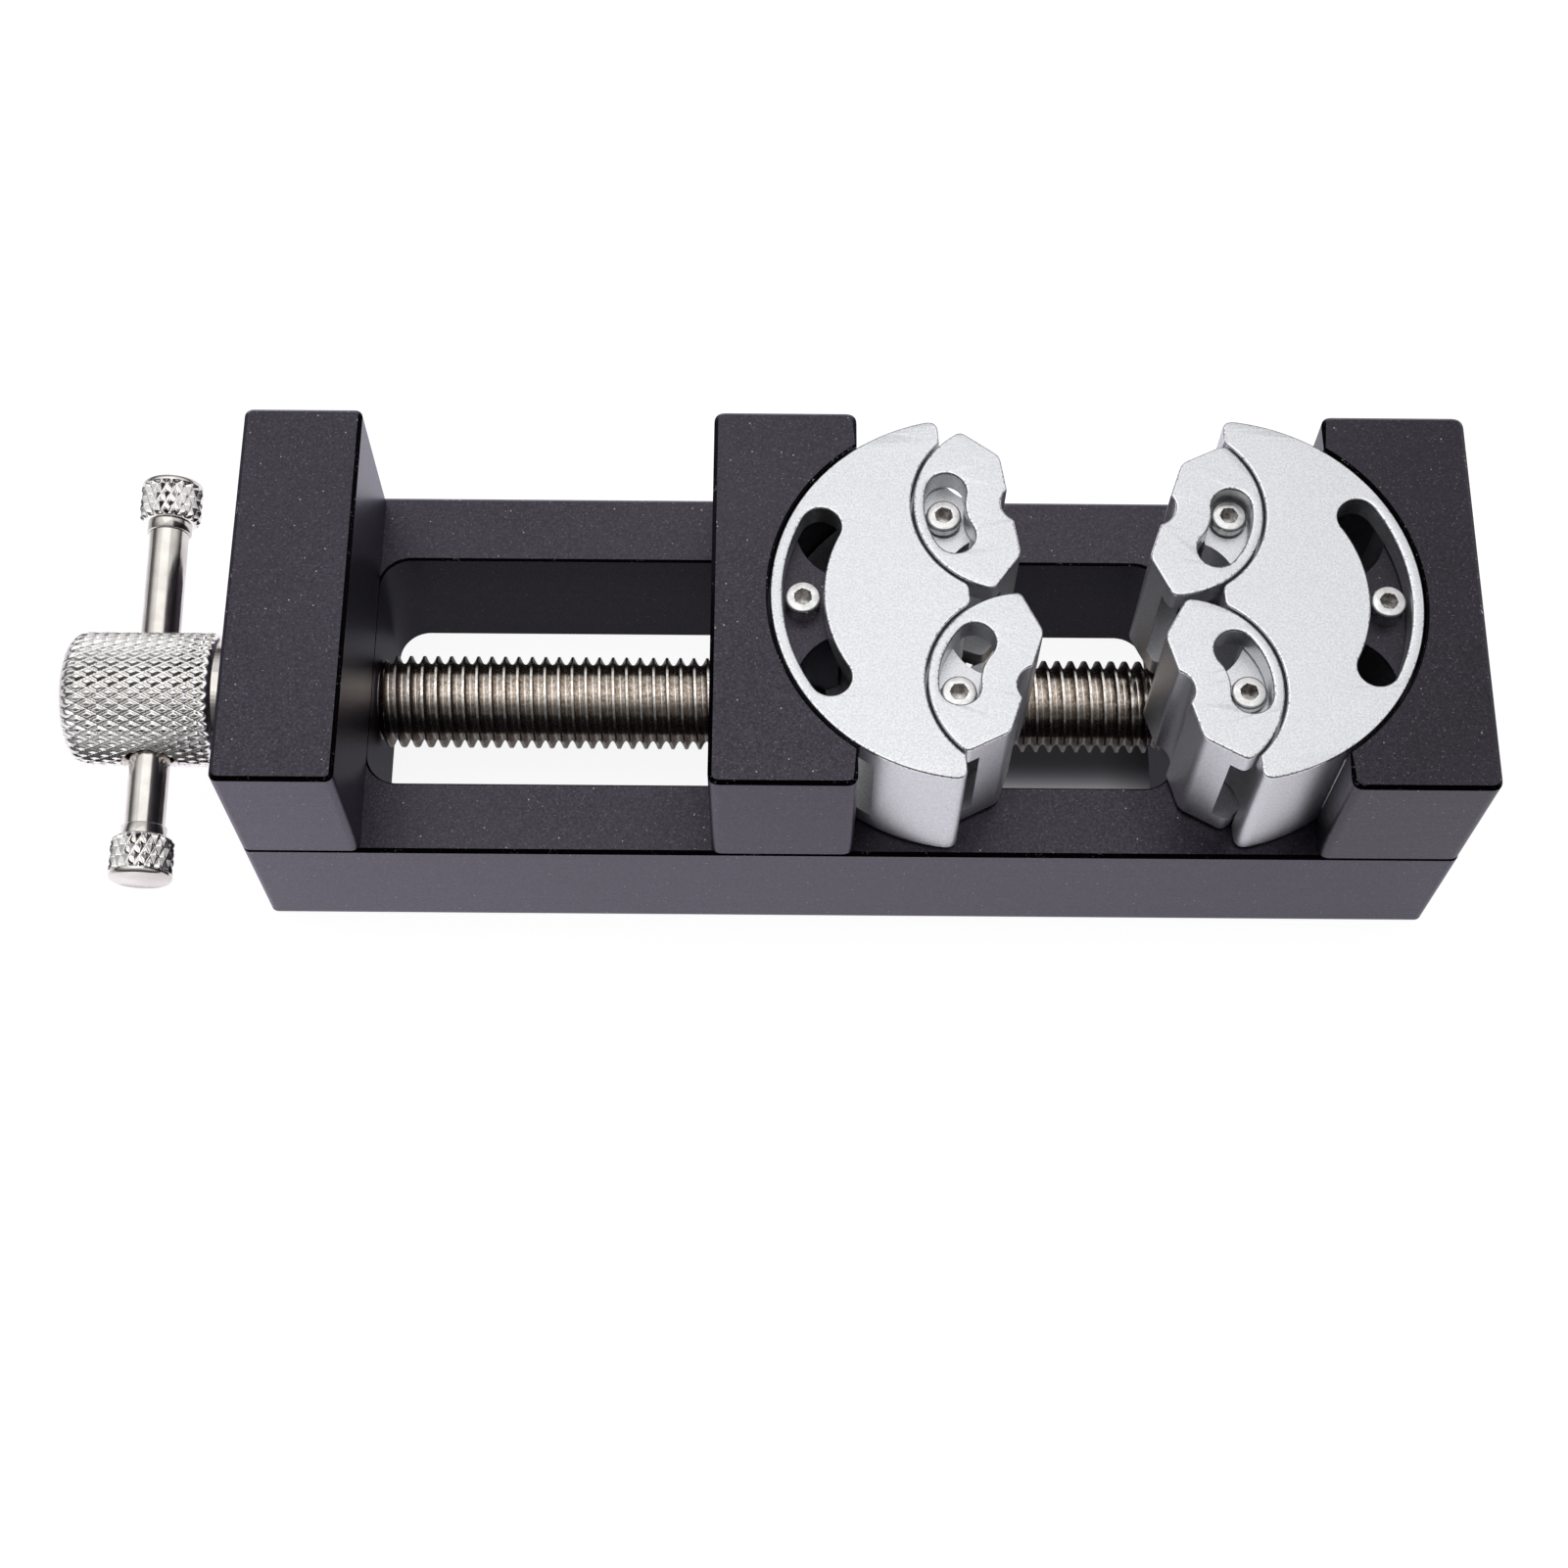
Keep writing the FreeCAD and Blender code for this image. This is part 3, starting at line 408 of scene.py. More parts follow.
def slab(name, outlines, low, high, edge=0.0, steps=3, foot=None, inner=None, ease=None):
    """An upright solid from its outlines, with broken top and bottom edges, which get material 1.

    An edge is a round in the given steps, or a bevel in one. Its size is edge, or foot at the bottom, or
    inner on the outlines after the first, and ease(point) scales it along an outline.
    """
    bm = bmesh.new()
    rings = [[], []]
    for points in outlines:
        top = edge if inner is None or points is outlines[0] else inner
        bottom = top if foot is None else foot
        layers = [(0, low), (0, high)]
        if edge:
            quarter = quarter_round(steps)
            layers = [(bottom * inward, low + bottom * rise) for inward, rise in quarter[::-1]]
            layers += [(top * inward, high - top * drop) for inward, drop in quarter]
        shares = [ease(point) if ease else 1.0 for point in points]
        loops = []
        for offset, z in layers:
            wall = high if z > (low + high) / 2 else low
            spots = inset(points, [offset * share for share in shares])
            loops.append([bm.verts.new((spot.x, spot.y, wall + (z - wall) * share))
                          for spot, share in zip(spots, shares)])
        for level, (below, above) in enumerate(zip(loops, loops[1:])):
            for corners in zip(below, onward(below), onward(above), above):
                face = bm.faces.new(corners)
                face.material_index = 1 if edge and level != steps else 0
        rings[0].append(loops[0])
        rings[1].append(loops[-1])
    for side, loops in enumerate(rings):
        flat = [vert for loop in loops for vert in loop]
        polygons = [[Vector((vert.co.x, vert.co.y, 0)) for vert in loop] for loop in loops]
        for corners in tessellate_polygon(polygons):
            triangle = [flat[corner] for corner in corners]
            face = bm.faces.new(triangle)
            face.normal_update()
            if (face.normal.z > 0) != (side == 1):
                face.normal_flip()
    return to_object(bm, name)


def lathe(name, profile, segments=96):
    """Turns a profile of (along, radius) about the local X axis, and closes both ends."""
    bm = bmesh.new()
    rings = [[bm.verts.new((profile[0][0], 0, 0))] * segments]
    for along, radius in profile:
        rings.append([bm.verts.new((along, *polar((0, 0), radius, 360 * index / segments)))
                      for index in range(segments)])
    rings.append([bm.verts.new((profile[-1][0], 0, 0))] * segments)
    for first, second in zip(rings, rings[1:]):
        for corners in zip(first, second, onward(second), onward(first)):
            bm.faces.new(list(dict.fromkeys(corners)))
    bmesh.ops.recalc_face_normals(bm, faces=bm.faces)
    return to_object(bm, name)


def carve(piece, *cutters, operation="DIFFERENCE"):
    """Applies exact booleans and removes the cutters."""
    for cutter in cutters:
        modifier = piece.modifiers.new("carve", "BOOLEAN")
        modifier.operation = operation
        modifier.solver = "EXACT"
        modifier.object = cutter
        bpy.context.view_layer.update()
        graph = bpy.context.evaluated_depsgraph_get()
        result = bpy.data.meshes.new_from_object(piece.evaluated_get(graph))
        piece.modifiers.clear()
        old = piece.data
        piece.data = result
        bpy.data.meshes.remove(old)
        bpy.data.objects.remove(cutter)
    return piece


def mark(piece):
    """Gives all faces of a piece its second material."""
    piece.data.polygons.foreach_set("material_index", [1] * len(piece.data.polygons))
    return piece


def shift(piece, matrix):
    """Moves the mesh itself, so that the object stays at the origin."""
    piece.data.transform(matrix)
    return piece


def turned(turn, axis="Z"):
    return Matrix.Rotation(radians(turn), 4, axis)


def moved(x=0.0, y=0.0, z=0.0):
    return Matrix.Translation((x, y, z))


def join(name, pieces):
    """One object from several."""
    bm = bmesh.new()
    for piece in pieces:
        bm.from_mesh(piece.data)
    joined = to_object(bm, name)
    for piece in pieces:
        bpy.data.objects.remove(piece)
    return joined


def finish_piece(piece, nodes, body, materials, sharp=32.0):
    """Gives a piece its materials, shading and scale, and ties it to the frame."""
    for material in materials:
        piece.data.materials.append(material)
    shift(piece, Matrix.Scale(MM, 4))
    piece.data.polygons.foreach_set("use_smooth", [True] * len(piece.data.polygons))
    piece.data.set_sharp_from_angle(angle=radians(sharp))
    weighted = piece.modifiers.new("even_shading", "WEIGHTED_NORMAL")
    weighted.keep_sharp = True
    weighted.weight = 60
    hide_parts(*nodes)
    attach(piece, body)
    return piece


# Materials

class Nodes:
    """A small helper that adds shader nodes and links them by socket name."""

    def __init__(self, owner, shader="Principled BSDF", coordinates="Object"):
        owner.use_nodes = True
        self.material = owner
        self.tree = owner.node_tree
        self.shader = self.tree.nodes[shader]
        self.place = self.add("ShaderNodeTexCoord").outputs[coordinates]

    def add(self, kind, settings=None, **inputs):
        node = self.tree.nodes.new(kind)
        for name, setting in (settings or {}).items():
            setattr(node, name, setting)
        for name, given in inputs.items():
            self.feed(node.inputs[name.replace("_", " ")], given)
        return node

    def feed(self, socket, given):
        if isinstance(given, bpy.types.NodeSocket):
            self.tree.links.new(given, socket)
        else:
            socket.default_value = given

    def noise(self, size, detail=2.0, roughness=0.5):
        """Noise with features of about the given size in millimetres."""
        node = self.add("ShaderNodeTexNoise", Vector=self.place, Scale=1 / (size * MM), Detail=detail,
                        Roughness=roughness)
        return node.outputs["Fac"]

    def axes(self):
        """The X, Y and Z of the place."""
        return self.add("ShaderNodeSeparateXYZ", Vector=self.place).outputs

    def streaks(self, scale, detail):
        """Noise with a scale for each axis, in features to the metre."""
        stretched = self.add("ShaderNodeMapping", Vector=self.place, Scale=scale).outputs[0]
        return self.add("ShaderNodeTexNoise", Vector=stretched, Scale=1.0, Detail=detail).outputs["Fac"]

    def spots(self, spacing, radius, share):
        """1 in spots in a share of the cells, 0 elsewhere; spacing and radius in millimetres."""
        cells = self.add("ShaderNodeTexVoronoi", Vector=self.place, Scale=1 / (spacing * MM))
        near = self.maths("LESS_THAN", cells.outputs["Distance"], radius / spacing)
        picked = self.add("ShaderNodeSeparateColor", Color=cells.outputs["Color"])
        chosen = self.maths("LESS_THAN", picked.outputs["Red"], share)
        return self.product(near, chosen)

    def maths(self, operation, first, second=0.0):
        node = self.add("ShaderNodeMath", {"operation": operation})
        self.feed(node.inputs[0], first)
        self.feed(node.inputs[1], second)
        return node.outputs[0]

    def product(self, first, *others):
        for other in others:
            first = self.maths("MULTIPLY", first, other)
        return first

    def span(self, source, low, high, to_low=0.0, to_high=1.0, kind="LINEAR"):
        """A value that runs from to_low to to_high while the source runs from low to high."""
        node = self.add("ShaderNodeMapRange", {"clamp": True, "interpolation_type": kind})
        for index, given in enumerate((source, low, high, to_low, to_high)):
            self.feed(node.inputs[index], given)
        return node.outputs[0]

    def mix(self, share, first, second):
        node = self.add("ShaderNodeMix", {"data_type": "RGBA"})
        self.feed(node.inputs[0], share)
        self.feed(node.inputs[6], first)
        self.feed(node.inputs[7], second)
        return node.outputs[2]

    def bump(self, height, strength, depth):
        node = self.add("ShaderNodeBump", Height=height, Strength=strength, Distance=depth * MM)
        self.feed(self.shader.inputs["Normal"], node.outputs["Normal"])

    def set(self, **inputs):
        for name, given in inputs.items():
            self.feed(self.shader.inputs[name.replace("_", " ")], given)


def new_material(name):
    return Nodes(bpy.data.materials.new(name))


def colour(red, green, blue, tone=1.0):
    return (red * tone, green * tone, blue * tone, 1.0)


def blasted_black(name, tone, graze, edge=False):
    """Blasted and dyed aluminium: a fine grain, faint milling lines on upright faces, dust, painted edge
    shade and glints.

    The tone scales its brightness, and graze tints what it mirrors at flat angles.
    """
    n = new_material(name)
    fine = n.noise(0.14)
    grain = n.noise(0.30, 3.0)
    cloud = n.noise(14.0, 3.0)
    lines = n.streaks((25.0, 25.0, 2600.0), 2.0)
    # The broken edges get a much darker colour: painted shade, standing in for the dark they mirror
    shade = tone * (0.22 if edge else 1.0)
    dark, light = colour(0.026, 0.0215, 0.033, shade), colour(0.066, 0.057, 0.080, shade)
    base = n.mix(n.span(grain, 0.36, 0.66), dark, light)
    base = n.mix(n.span(cloud, 0.3, 0.7, 0.0, 0.25), base, colour(0.036, 0.031, 0.044, shade))
    if edge:
        # Light grey flecks on the broken edges are painted glints
        painted_glint = n.product(n.span(n.noise(0.35, 3.0), 0.62, 0.67), n.span(n.noise(5.0), 0.52, 0.62))
        base = n.mix(painted_glint, base, colour(0.50, 0.49, 0.50))
    else:
        base = n.mix(n.span(lines, 0.35, 0.65, 0.0, 0.25), base, colour(0.062, 0.054, 0.072))
        base = n.mix(n.span(n.noise(0.22, 1.0), 0.67, 0.74, 0.0, 0.6), base, colour(0.20, 0.19, 0.23))
        base = n.mix(n.spots(1.3, 0.10, 0.45), base, colour(0.36, 0.33, 0.30))
    rough = (0.20, 0.30) if edge else (0.36, 0.48)
    n.set(Base_Color=base, Roughness=n.span(fine, 0.3, 0.7, *rough), Metallic=1.0, Specular_Tint=graze,
          Coat_Weight=0.05 if edge else 0.45, Coat_Roughness=0.3)
    n.bump(n.maths("ADD", n.product(fine, 0.5), grain), 0.2 if edge else 0.65, 0.03)
    return n.material


def blasted_silver(name, edge=False):
    """Bead-blasted silver anodising; its broken edges are smoother, brighter from wear and a painted
    highlight, with flecks of painted dark reflection.
    """
    n = new_material(name)
    fine = n.noise(0.13)
    grain = n.noise(0.24, 2.0)
    cloud = n.noise(9.0, 3.0)
    # The broken edges are brighter: partly worn metal, partly a painted highlight
    dark, light = (0.82, 0.92) if edge else (0.69, 0.86)
    base = n.mix(n.span(grain, 0.35, 0.65), *(colour(1.0, 1.003, 1.03, tone) for tone in (dark, light)))
    base = n.mix(n.span(cloud, 0.35, 0.7, 0.0, 0.08), base, colour(0.66, 0.66, 0.70))
    if edge:
        # Grey flecks on the broken edges: painted dark reflections
        base = n.mix(n.span(n.noise(0.32, 3.0), 0.56, 0.62, 0.0, 0.8), base, colour(0.30, 0.30, 0.32))
    rough = (0.14, 0.22) if edge else (0.34, 0.46)
    n.set(Base_Color=base, Roughness=n.span(fine, 0.3, 0.7, *rough), Metallic=1.0)
    n.bump(n.maths("ADD", n.product(fine, 0.5), grain), 0.12 if edge else 0.46, 0.03)
    return n.material


def plated(name, dark, light, smooth, rough):
    """Nickel plate with faint scratches and blotches of slightly different grey."""
    n = new_material(name)
    scratch = n.streaks((5000.0, 350.0, 350.0), 3.0)
    blotch = n.noise(3.0, 3.0)
    base = n.mix(n.span(blotch, 0.35, 0.65), dark, light)
    n.set(Base_Color=base, Roughness=n.span(scratch, 0.3, 0.7, smooth, rough), Metallic=1.0)
    n.bump(scratch, 0.08, 0.01)
    return n.material


def threaded_steel(name):
    """Bright crests and roots, and flanks darker with brownish oil and painted shade, by the distance from
    the screw's axis.
    """
    n = new_material(name)
    _, y, z = n.axes()
    drop = n.maths("SUBTRACT", z, SCREW_Z * MM)
    square = n.maths("ADD", n.product(y, y), n.product(drop, drop))
    radius = n.maths("POWER", square, 0.5)
    root, crest = ([radius_mm * MM for radius_mm in edge] for edge in (FLANK_ROOT, FLANK_CREST))
    # The flanks between root and crest: brownish oil and painted shade in the thread's grooves
    flank = n.product(n.span(radius, *root), n.span(radius, *crest, 1.0, 0.0))
    clean = n.span(n.noise(0.45, 4.0, 0.7), 0.36, 0.56)
    smooth = n.mix(clean, colour(0.66, 0.58, 0.51), colour(0.95, 0.93, 0.90))
    oil_and_painted_groove_shade = n.mix(clean, colour(0.26, 0.20, 0.16), colour(0.62, 0.55, 0.48))
    n.set(Base_Color=n.mix(flank, smooth, oil_and_painted_groove_shade), Roughness=n.span(clean, 0.0, 1.0, 0.30, 0.14),
          Metallic=1.0)
    n.bump(n.noise(0.25, 3.0), 0.2, 0.02)
    return n.material


def screw_steel(name, dark, light):
    n = new_material(name)
    base = n.mix(n.span(n.noise(0.8, 3.0), 0.3, 0.7), dark, light)
    n.set(Base_Color=base, Roughness=n.span(n.noise(0.3), 0.3, 0.7, 0.16, 0.30), Metallic=1.0)
    n.bump(n.noise(0.2), 0.1, 0.01)
    return n.material


def bronze_metal(name):
    n = new_material(name)
    base = n.mix(n.noise(1.2, 3.0), colour(0.40, 0.30, 0.18), colour(0.56, 0.44, 0.28))
    n.set(Base_Color=base, Roughness=n.span(n.noise(0.4), 0.3, 0.7, 0.25, 0.42), Metallic=1.0)
    n.bump(n.noise(0.3), 0.15, 0.02)
    return n.material


def black_pair(name, tone, graze):
    """The material of a black piece's faces and that of its broken edges."""
    return [blasted_black(name, tone, graze), blasted_black(name + "_edge", tone, graze, edge=True)]


BLACK = black_pair("black_blasted", 0.82, colour(0.92, 0.90, 1.0))
BLACK_MOVING = black_pair("black_blasted_moving", 0.80, colour(0.80, 0.78, 0.87))
BLACK_FIXED = black_pair("black_blasted_fixed", 0.50, colour(0.97, 0.955, 1.0))
SILVER = [blasted_silver("silver_blasted"), blasted_silver("silver_edge_wear_and_painted_highlight", edge=True)]
PLATED = plated("nickel_plate", colour(0.64, 0.60, 0.56), colour(0.76, 0.72, 0.68), 0.10, 0.22)
KNURLED = plated("nickel_knurl", colour(0.88, 0.86, 0.83), colour(0.96, 0.94, 0.92), 0.08, 0.17)
THREADED = threaded_steel("lead_screw_steel")
STEEL = screw_steel("cap_screw_steel", colour(0.58, 0.58, 0.57), colour(0.80, 0.80, 0.79))
# The sockets' walls and floors get a darker steel: painted shade inside the recess
SOCKET_PAINTED_SHADE = screw_steel("cap_screw_socket_painted_shade", colour(0.18, 0.16, 0.15), colour(0.62, 0.60, 0.58))
BRONZE = bronze_metal("bearing_bronze")


# Cap screws

def cap_screw(size):
    """A cap screw with the underside of its head at the origin, its head up, and a hexagon socket."""
    radius, height, shank, length = size
    round_off = HEAD_ROUND * radius
    rise = round_off * HEAD_ROUND_HEIGHT
    profile = [(-length, shank * TIP_RADIUS), (-length + shank * TIP_LENGTH, shank), (0, shank),
               (0, radius - UNDERSIDE_BREAK), (UNDERSIDE_BREAK, radius)]
    profile += [(height - rise * drop, radius - round_off * inward) for inward, drop in quarter_round(4)]
    screw = lathe("screw", profile, 48)
    socket = [polar((0, 0), radius * SOCKET_CORNER, 60 * index + 30) for index in range(6)]
    hexagon = mark(slab("socket", [socket], height * SOCKET_FLOOR, height + BEYOND))
    narrow, wide = (radius * share for share in LEAD_IN)
    lead_in = lathe("lead_in", [(height - radius * LEAD_IN_DEPTH, narrow), (height + 0.05, wide)], 48)
    up = turned(-90, "Y")
    return carve(shift(screw, up), hexagon, shift(lead_in, up))


def screw_group(name, size, places, node, body):
    """Equal screws at (x, y, z, turn about Z, head up) places, as one piece."""
    first = cap_screw(size)
    copies = []
    for x, y, z, turn, upright in places:
        place = moved(x, y, z) @ turned(0 if upright else 180, "X") @ turned(turn)
        copies.append(shift(new_object("copy", first.data.copy()), place))
    bpy.data.objects.remove(first)
    return finish_piece(join(name, copies), [node], body, [STEEL, SOCKET_PAINTED_SHADE])


# The fixed pieces and the blocks

def drill(spot, radius, low, high):
    """An upright round cutter."""
    return slab("drill", [arc(spot, radius, 0, 360)[1:]], low, high)


def large_spots(node):
    """Where a node's two large screws stand in plan, and the height of their heads' undersides."""
    low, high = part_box(node)
    x = (low.x + high.x) / MM / 2
    y = (high.y - low.y) / MM / 2 - LARGE_SCREW[0]
    return [(x, y), (x, -y)], low.z / MM


def screw_recesses(node):
    """Cutters for the large screws' heads and shanks, from beneath."""
    spots, head_low = large_spots(node)
    cutters = []
    for spot in spots:
        cutters.append(drill(spot, LARGE_SCREW[0] + HEAD_FIT, -BEYOND, head_low + LARGE_SCREW[1]))
        cutters.append(drill(spot, LARGE_SCREW[2] + HEAD_FIT, head_low, DECK + BEYOND))
    return cutters


def tapped_holes(node, low):
    """Cutters for the large screws' threads in the block above."""
    spots, head_low = large_spots(node)
    high = head_low + LARGE_SCREW[1] + LARGE_SCREW[3]
    return [drill(spot, LARGE_SCREW[2] + THREAD_FIT, low - BEYOND, high) for spot in spots]


def make_base():
    outline = rectangle(-BASE_LENGTH / 2, BASE_LENGTH / 2, BASE_WIDTH, CORNER_ROUND)
    slot = rectangle(SLOT_START, SLOT_END, SLOT_WIDTH, SLOT_CORNER)[::-1]
    piece = slab("slotted_bar", [outline, slot], 0, DECK, EDGE, 1, FOOT_EDGE, SLOT_EDGE)
    low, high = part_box("spindle_bush")
    bush_radius = (high.y - low.y) / MM / 2
    journal = JOURNAL_RADIUS + RUNNING_GAP
    bore = lathe("bore", [(low.x / MM - BEYOND, bush_radius), (high.x / MM, bush_radius),
                          (high.x / MM, journal), (SLOT_START + BEYOND, journal)])
    low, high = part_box("end_bush")
    end_radius = (high.y - low.y) / MM / 2
    blind = lathe("blind", [(SLOT_END - BEYOND, end_radius), (high.x / MM, end_radius)])
    cutters = [shift(bore, moved(z=SCREW_Z)), shift(blind, moved(z=SCREW_Z))]
    cutters += screw_recesses("end_block_screws") + screw_recesses("fixed_block_screws")
    carve(piece, *cutters)
    finish_piece(piece, ["base_frame"], "base", BLACK)


def make_end_block():
    outline = rectangle(SLOT_START - END_BLOCK, SLOT_START, BASE_WIDTH, CORNER_ROUND)
    piece = slab("handle_end_block", [outline], DECK, JAW_TOP, EDGE, 1, FOOT_EDGE)
    carve(piece, *tapped_holes("end_block_screws", DECK))
    finish_piece(piece, ["end_block"], "base", BLACK)


def lug_holes(spot, sink):
    """Cutters for the two screws of a lug, with counterbores where the heads are sunk."""
    sizes = [(SMALL_SCREW[2] + THREAD_FIT, sink + SMALL_SCREW[3])]
    if sink:
        sizes.append((SMALL_SCREW[0] + HEAD_FIT, sink))
    cutters = []
    for radius, depth in sizes:
        cutters += [drill(spot, radius, LUG_TOP - depth, LUG_TOP + BEYOND),
                    drill(spot, radius, LUG_LOW - BEYOND, LUG_LOW + depth)]
    return cutters


def add_lug(piece, outline, x, y, slot_radius, sink=0.0):
    """Unites a piece with the lug of a seat centred at (x, y), and drills the lug."""
    lug = slab("lug", [outline], LUG_LOW, LUG_TOP)
    carve(piece, shift(lug, moved(x, y)), operation="UNION")
    carve(piece, *lug_holes((x - slot_radius, y), sink))


def make_jaw_block(name, node, body, face, turn, low, screws, materials):
    def ease(point):
        return SEAT_EDGE_SHARE if (point - Vector((SEAT_OFFSET, 0))).length < SEAT_RADIUS + 0.01 else 1.0

    block = slab(name, [jaw_block_outline()], low, JAW_TOP, EDGE, 1, FOOT_EDGE, ease=ease)
    add_lug(block, lug_outline(), SEAT_OFFSET, 0, ARC_SLOT_RADIUS)
    shift(block, moved(x=face) @ turned(turn))
    carve(block, *tapped_holes(screws, low))
    finish_piece(block, [node], body, materials)


def make_carriage():
    low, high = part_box("carriage")
    outline = rectangle(low.x / MM, high.x / MM, (high.y - low.y) / MM, SLOT_CORNER)
    piece = slab("carriage_guide", [outline], low.z / MM, high.z / MM, SLOT_EDGE, 1)
    nut_low, nut_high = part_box("lead_nut")
    narrow = NUT_RADIUS + THREAD_FIT
    wide = (nut_high.y - nut_low.y) / MM / 2 + THREAD_FIT
    step = nut_high.x / MM - NUT_FLANGE
    bore = lathe("bore", [(low.x / MM - BEYOND, narrow), (step, narrow), (step, wide),
                          (high.x / MM + BEYOND, wide)])
    carve(piece, shift(bore, moved(z=SCREW_Z)), *screw_recesses("carriage_screws"))
    finish_piece(piece, ["carriage"], "moving_jaw", BLACK)


# The jaws

def make_crescent(side, axis, turn):
    node = "crescent_" + side
    piece = slab(node + "_casting", [crescent_outline(), arc_slot(ARC_SLOT_RADIUS, ARC_SLOT_SPAN)],
                 JAW_LOW, JAW_TOP, JAW_EDGE)
    start, end = 180 - GROOVE_SPAN, 180 + GROOVE_SPAN
    groove = arc((0, 0), SEAT_RADIUS + BEYOND, start, end) + arc((0, 0), GROOVE_RADIUS, end, start)
    carve(piece, slab("groove", [groove], JAW_LOW + FLANGE, JAW_TOP - FLANGE))
    for sign in (1, -1):
        seat = polar((0, 0), SMALL_SEAT_DISTANCE, sign * SMALL_SEAT_ANGLE)
        add_lug(piece, small_lug_outline(), seat.x, seat.y, KIDNEY_RADIUS, LUG_SINK)
    shift(piece, moved(axis.x, axis.y) @ turned(turn))
    finish_piece(piece, [node], node, SILVER)


def make_small_jaw(node, turn):
    axis = axis_place(node + "_turn")
    outlines = [small_jaw_outline(), arc_slot(KIDNEY_RADIUS, KIDNEY_SPAN)]
    piece = slab(node + "_block", outlines, JAW_LOW, JAW_TOP, JAW_EDGE)
    reach = SMALL_SEAT_RADIUS + BEYOND
    groove = [Vector((-reach, -reach)), Vector((-SMALL_GROOVE_PLANE, -reach)),
              Vector((-SMALL_GROOVE_PLANE, reach)), Vector((-reach, reach))]
    carve(piece, slab("groove", [groove], JAW_LOW + FLANGE, JAW_TOP - FLANGE))
    shift(piece, moved(axis.x, axis.y) @ turned(turn))
    finish_piece(piece, [node], node, SILVER)


# The screw and the handle

def thread_radius(phase):
    """The radius of the thread's surface at a share of the pitch from a crest's middle."""
    depth = THREAD_DEPTH_SHARE * THREAD_PITCH
    distance = abs((phase + 0.5) % 1 - 0.5)
    share = max(0, (distance - THREAD_CREST) / (0.5 - THREAD_CREST))
    return THREAD_RADIUS - depth * sin(pi / 2 * share)


def make_lead_screw():
    low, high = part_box("lead_screw")
    start = SLOT_START + THREAD_START_GAP
    end = SLOT_END - THREAD_END_GAP
    segments = 96
    samples = [0, 0.08, 0.13, 0.19, 0.26, 0.33, 0.39, 0.45, 0.5, 0.55, 0.61, 0.67, 0.74, 0.81, 0.87, 0.92]
    first = int((start - SLOT_START) / THREAD_PITCH) - 2
    turns = ceil((end - start) / THREAD_PITCH) + 4
    bm = bmesh.new()
    rows = []
    for turn in range(first, first + turns):
        for sample in samples:
            row = []
            for index in range(segments + 1):
                along = SLOT_START + (turn + sample + index / segments) * THREAD_PITCH
                edge = min(along - start, end - along)
                radius = min(thread_radius(sample), THREAD_RADIUS - THREAD_LEAD + edge)
                radius = max(THREAD_CORE, radius)
                point = polar((0, 0), radius, 360 * index / segments)
                row.append(bm.verts.new((along, point.x, point.y)))
            rows.append(row)
    for below, above in zip(rows, rows[1:]):
        for index in range(segments):
            bm.faces.new((below[index], below[index + 1], above[index + 1], above[index]))
    bmesh.ops.remove_doubles(bm, verts=bm.verts, dist=1e-4)
    for place, way in ((start, -1), (end, 1)):
        geometry = bm.verts[:] + bm.edges[:] + bm.faces[:]
        bmesh.ops.bisect_plane(bm, geom=geometry, plane_co=(place, 0, 0), plane_no=(way, 0, 0),
                               clear_outer=True)
    bmesh.ops.holes_fill(bm, edges=[edge for edge in bm.edges if edge.is_boundary], sides=0)
    bmesh.ops.recalc_face_normals(bm, faces=bm.faces)
    thread = to_object(bm, "thread")
    first_end, last_end = low.x / MM, high.x / MM
    journal = lathe("journal", [(first_end, JOURNAL_RADIUS), (start, JOURNAL_RADIUS)])
    pilot = lathe("pilot", [(end, PILOT_RADIUS), (last_end - PILOT_BREAK, PILOT_RADIUS),
                            (last_end, PILOT_RADIUS - PILOT_BREAK)])
    piece = shift(join("threaded_spindle", [thread, journal, pilot]), moved(z=SCREW_Z))
    finish_piece(piece, ["lead_screw"], "spindle", [THREADED], sharp=40)


def knurl(name, profile, fade, teeth, slope, depth, land, columns):
    """A turned piece whose surface is cut by two crossed families of V grooves.

    The profile lists (along, radius) for closely spaced rings, fade(along) scales the grooves' depth, land
    is the uncut share of their spacing, and slope how many spacings one shifts round per millimetre.
    """
    bm = bmesh.new()
    rings = []
    for along, radius in profile:
        ring = []
        for index in range(columns):
            around = teeth * index / columns
            cuts = [abs((around + way * slope * along) % 1 - 0.5) * 2 for way in (1, -1)]
            cut = max(0.0, max(cuts) - land) / (1 - land)
            here = radius - depth * fade(along) * cut
            ring.append(bm.verts.new((along, *polar((0, 0), here, 360 * index / columns))))
        rings.append(ring)
    for first, second in zip(rings, rings[1:]):
        for corners in zip(first, second, onward(second), onward(first)):
            bm.faces.new(corners)
    for ring, along in ((rings[0], profile[0][0]), (rings[-1], profile[-1][0])):
        hub = bm.verts.new((along, 0, 0))
        for here, after in zip(ring, onward(ring)):
            bm.faces.new((here, after, hub))
    bmesh.ops.recalc_face_normals(bm, faces=bm.faces)
    return to_object(bm, name)


def shoulder(start, end, steps, radius, neck, reach):
    """A straight barrel's profile from start to end, which rounds down to a neck over its last reach."""
    profile = []
    for index in range(steps + 1):
        along = start + (end - start) * index / steps
        past = max(0.0, along - end + reach) / reach
        profile.append((along, neck + (radius - neck) * sqrt(1 - SHOULDER_FULLNESS * past ** 2)))
    return profile


